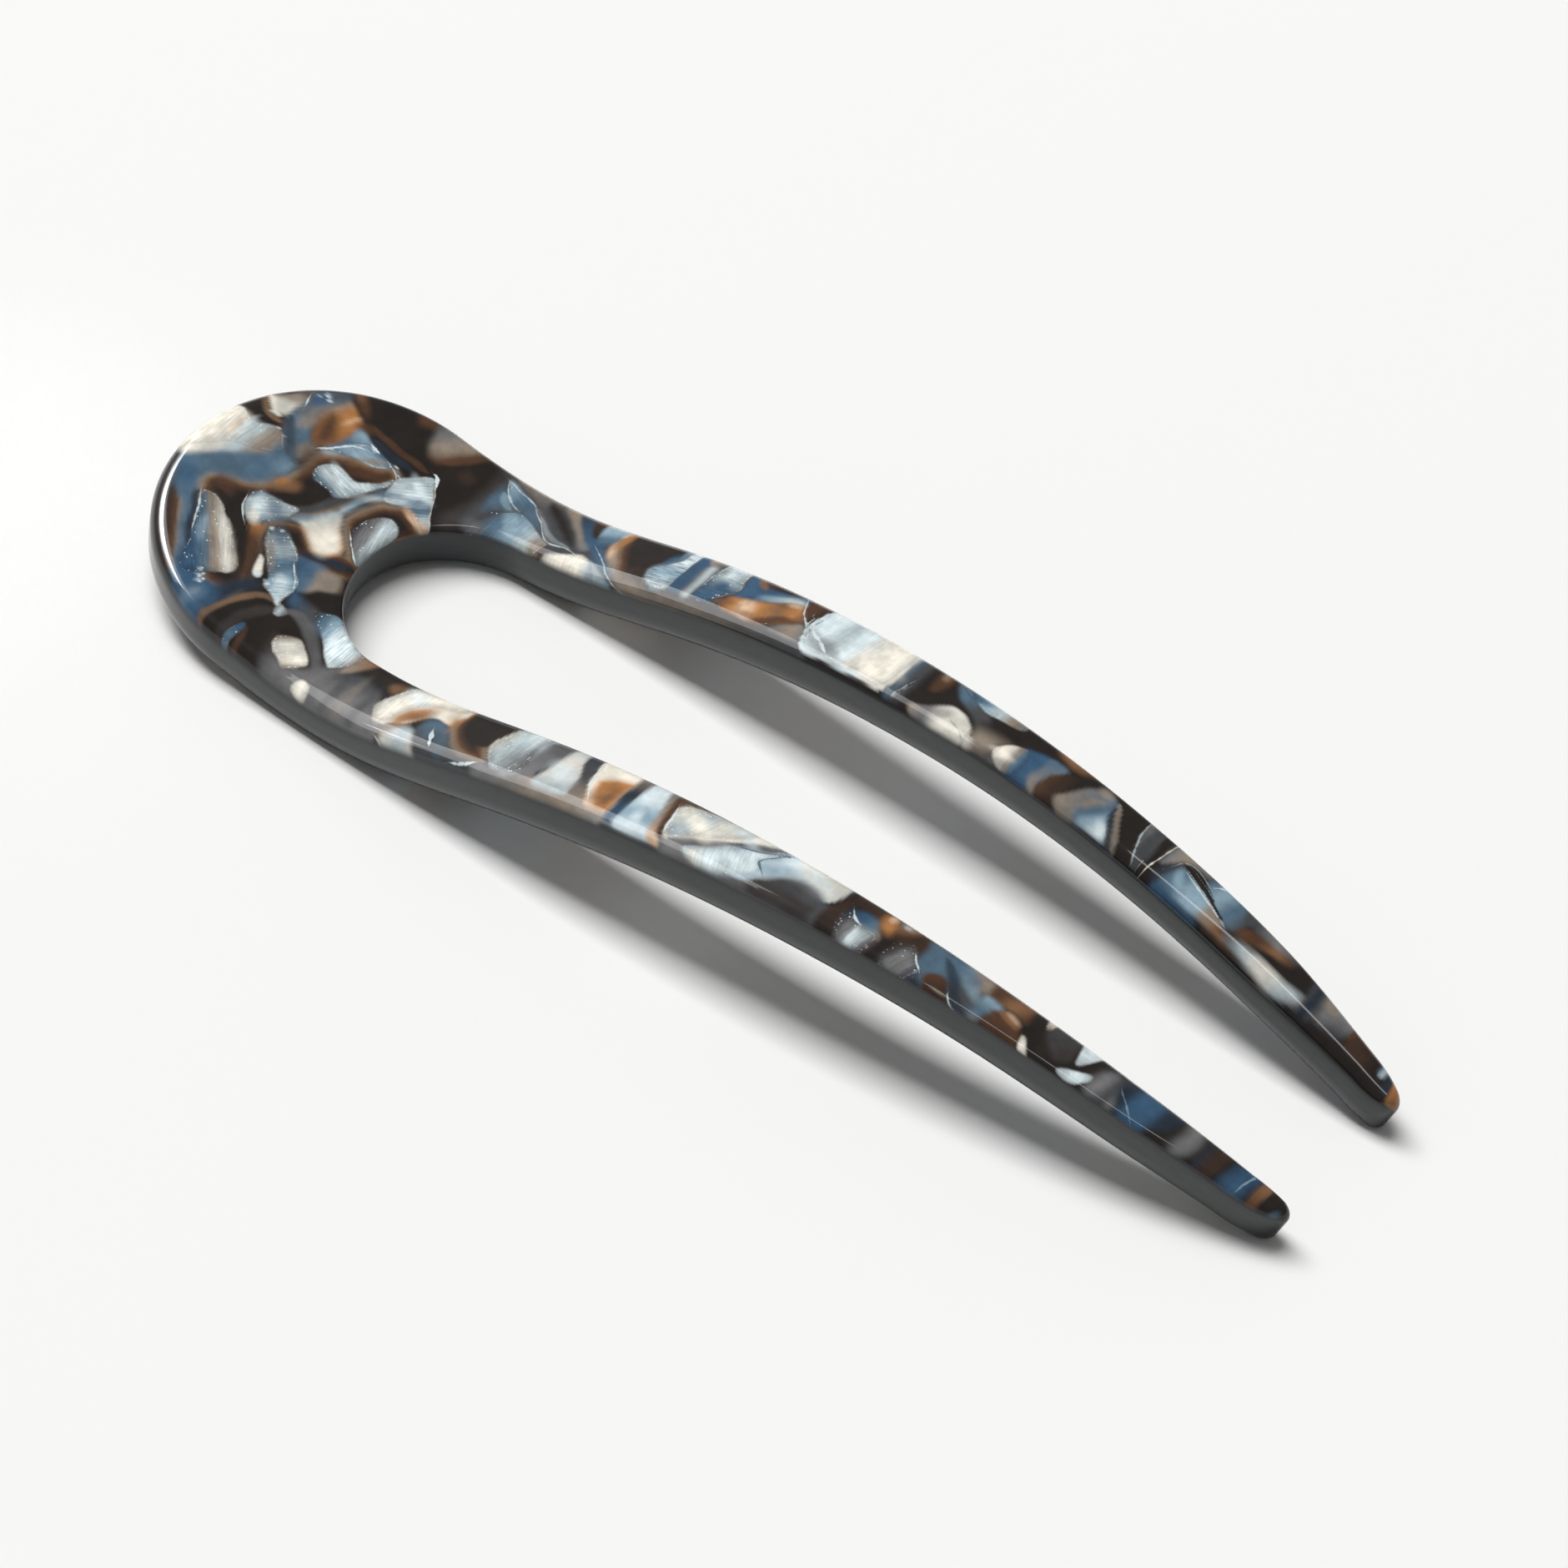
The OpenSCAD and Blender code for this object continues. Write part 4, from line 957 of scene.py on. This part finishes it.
def ranged(value, low, high, toLow=0.0, toHigh=1.0):
    given = {"Value": value, "From Min": low, "From Max": high, "To Min": toLow, "To Max": toHigh}
    return acetateNode("ShaderNodeMapRange", given, interpolation_type="SMOOTHSTEP")[0]


def noise(place, kind):
    scale, detail, rough = look[kind]
    given = {"Vector": place, "Scale": scale, "Detail": detail, "Roughness": rough}
    return acetateNode("ShaderNodeTexNoise", given)["Fac"]


def mixed(factor, a, b):
    # sockets 6 and 7 are the Mix node's colours, 2 the colour it gives
    return acetateNode("ShaderNodeMix", {0: factor, 6: a, 7: b}, data_type="RGBA")[2]


sheetPlace = attribute("sheet")
vein, fold = noise(sheetPlace, "vein"), noise(sheetPlace, "fold")
fine = calc("SUBTRACT", noise(sheetPlace, "fine"), 0.5)
drift = calc("SUBTRACT", noise(sheetPlace, "drift"), 0.5)
tone = scaled(attribute("ground"), ranged(vein, *look["veinShade"]))
# painted highlight: Voronoi specks that become small bright sparkles near frayed chip edges
spark = acetateNode("ShaderNodeTexVoronoi", {"Vector": sheetPlace, "Scale": look["sparkScale"]})
sparkPick = parts(spark["Color"])["X"]
sparkNear = calc("LESS_THAN", spark["Distance"], look["sparkSize"])
for key in ("flakeA", "flakeB"):
    fray, glint, streak = parts(attribute(key + "Style"))
    stepped = calc("MULTIPLY_ADD", fine, look["fineDepth"], attribute(key + "Inside", "Fac"))
    ragged = calc("MULTIPLY_ADD", drift, times(fray, look["frayReach"]), stepped)
    tone = mixed(ranged(ragged, *look["halo"]), tone, look["haloTone"])
    axisAndSoft = attribute(key + "Axis")
    soft = parts(axisAndSoft)["Z"]
    axis = vectorCalc("MULTIPLY", axisAndSoft, (1.0, 1.0, 0.0))
    across = vectorCalc("CROSS_PRODUCT", axis, (0.0, 0.0, 1.0))
    brushed = acetateNode("ShaderNodeCombineXYZ", {
        "X": times(vectorCalc("DOT_PRODUCT", sheetPlace, axis), look["streakAcross"]),
        "Y": times(vectorCalc("DOT_PRODUCT", sheetPlace, across), look["streakAlong"]),
    })[0]
    brushing = calc("SUBTRACT", noise(brushed, "brush"), 0.5)
    frayShade = calc("MULTIPLY_ADD", fray, look["shadeFray"], 1.0)
    shade = ranged(ragged, 0.0, look["shadeDepth"], frayShade, look["shadeLight"])
    shade = times(shade, ranged(fold, *look["foldShade"]))
    lines = calc("MULTIPLY_ADD", streak, look["streakMore"], look["streakLeast"])
    shade = times(shade, calc("MULTIPLY_ADD", brushing, lines, 1.0))
    pearl = scaled(attribute(key), shade)
    # painted highlight: a bright glint line just inside a chip's edge, broken by gaps
    glintLine = times(ranged(ragged, *look["glintStart"]), ranged(ragged, *look["glintStop"]))
    glintLine = times(times(glintLine, glint), ranged(vein, *look["glintGaps"]))
    pearl = mixed(glintLine, pearl, look["glintTone"])
    # painted highlight sparkles
    share = times(ranged(ragged, *look["sparkShare"]), ranged(fray, *look["sparkFray"]))
    sparkle = times(sparkNear, calc("LESS_THAN", sparkPick, share))
    pearl = mixed(times(sparkle, look["sparkStrength"]), pearl, look["sparkTone"])
    tone = mixed(ranged(ragged, times(soft, -1.0), soft), tone, pearl)
# thin lines: the pale ones are painted highlight glints along chip edges, the dark ones seams
glintAndSeamSide, glintAndSeamWidth, glintAndSeamStrength = parts(attribute("crease"))
glintAndSeamWidth = times(glintAndSeamWidth, ranged(noise(sheetPlace, "glintAndSeamGaps"), *look["glintAndSeamFade"]))
inGlintAndSeam = ranged(calc("SUBTRACT", glintAndSeamWidth, calc("ABSOLUTE", glintAndSeamSide)), *look["glintAndSeamEdge"])
tone = mixed(times(inGlintAndSeam, glintAndSeamStrength), tone, attribute("creaseTone"))
rimPlace = attribute("rim", "Fac")
wall = calc("SUBTRACT", ranged(rimPlace, *look["wallFrom"]), ranged(rimPlace, *look["wallTo"]))
tone = mixed(wall, tone, scaled(look["wallTone"], ranged(fold, *look["wallShade"])))
feed(acetateShader, {
    "Base Color": tone, "Roughness": ranged(fine, *look["roughness"]), "Specular IOR Level": look["specular"],
    "Coat Weight": look["coat"], "Coat Roughness": look["coatRoughness"], "Coat IOR": look["coatBend"],
})

tree = bendTree()
modifier = blank.modifiers.new("bend", "NODES")
modifier.node_group = tree
socket = {s.name: s.identifier for s in tree.interface.items_tree if s.in_out == "INPUT"}
modifier[socket["Profile"]] = profileObject
modifier[socket["Rise"]] = 1.0
modifier[socket["Material"]] = acetate
bpy.context.view_layer.update()
graph = bpy.context.evaluated_depsgraph_get()
pinMesh = bpy.data.meshes.new_from_object(blank.evaluated_get(graph))
pinMesh.name = "hairPin"
hairPin = addObject("hairPin", pinMesh)
for helper in (blank, profileObject):
    bpy.data.objects.remove(helper)
print("pin bent:", len(pinMesh.polygons), "faces")
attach(hairPin, "root")
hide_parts("pin")

# plain pale floor
floorLook = {"half": 5.0, "colour": (0.86, 0.86, 0.85, 1), "roughness": 0.9, "specular": 0.1}
half = floorLook["half"]
floorMesh = bpy.data.meshes.new("floor")
corners = [(-half, -half, 0), (half, -half, 0), (half, half, 0), (-half, half, 0)]
floorMesh.from_pydata(corners, [], [(0, 1, 2, 3)])
floor = addObject("floor", floorMesh)
paper, paperShader = addMaterial("paper")
feed(paperShader, {
    "Base Color": floorLook["colour"], "Roughness": floorLook["roughness"],
    "Specular IOR Level": floorLook["specular"],
})
floorMesh.materials.append(paper)

# the photograph's viewpoint
view = {
    "azimuth": -50.377, "elevation": 47.42, "distance": 0.4881,
    "target": (-0.00003, 0.00518, 0), "lens": 145.15, "sensor": 36.0, "nearest": 0.01,
}
az, el = math.radians(view["azimuth"]), math.radians(view["elevation"])
toCamera = Vector((math.cos(el) * math.cos(az), math.cos(el) * math.sin(az), math.sin(el)))
cameraData = bpy.data.cameras.new("camera")
cameraData.sensor_width = view["sensor"]
cameraData.lens = view["lens"]
cameraData.clip_start = view["nearest"]
camera = addObject("camera", cameraData)
camera.location = Vector(view["target"]) + toCamera * view["distance"]
camera.rotation_euler = (-toCamera).to_track_quat("-Z", "Y").to_euler()
bpy.context.scene.camera = camera

# soft studio light: every panel has its centre and size in metres, the way it faces and its radiance;
# the key lights surfaces alone, and the side panel, the strip and the roof show in reflections alone
air = {"colour": (1, 1, 1, 1), "strength": 0.2}
world = bpy.data.worlds.new("studio")
world.use_nodes = True
feed(world.node_tree.nodes["Background"], {"Color": air["colour"], "Strength": air["strength"]})
bpy.context.scene.world = world
panels = {
    "key": {"at": (-2.4, 0.3, 6), "faces": (0, 0, -1), "size": (6.0, 2.0), "radiance": 12.0},
    "side": {"at": (-6, -0.4, 7.8), "faces": (1, 0, 0), "size": (8.2, 9.6), "radiance": 4.2},
    "strip": {"at": (-0.0832, -0.0117, 0.0267), "faces": (0.5, 0, -0.866), "size": (0.042, 0.028), "turn": 14,
              "radiance": 9.0, "spread": 66},
    "roof": {"at": (0.5, -0.45, 5), "faces": (0, 0, -1), "size": (2.4, 0.9), "radiance": 7.0},
}
for name, panel in panels.items():
    lamp = bpy.data.lights.new(name, "AREA")
    lamp.shape = "RECTANGLE"
    lamp.size, lamp.size_y = panel["size"]
    lamp.energy = math.pi * panel["radiance"] * lamp.size * lamp.size_y
    lamp.spread = math.radians(panel.get("spread", 180))
    lampObject = addObject(name, lamp)
    lampObject.location = panel["at"]
    aim = (-Vector(panel["faces"])).to_track_quat("Z", "Y")
    roll = Quaternion((0, 0, 1), math.radians(panel.get("turn", 0)))
    lampObject.rotation_euler = (aim @ roll).to_euler()
    lampObject.visible_camera = False
    lampObject.visible_glossy = name != "key"
    lampObject.visible_diffuse = name == "key"
print("floor, camera and light placed")

bpy.context.scene.view_settings.view_transform = "Standard"
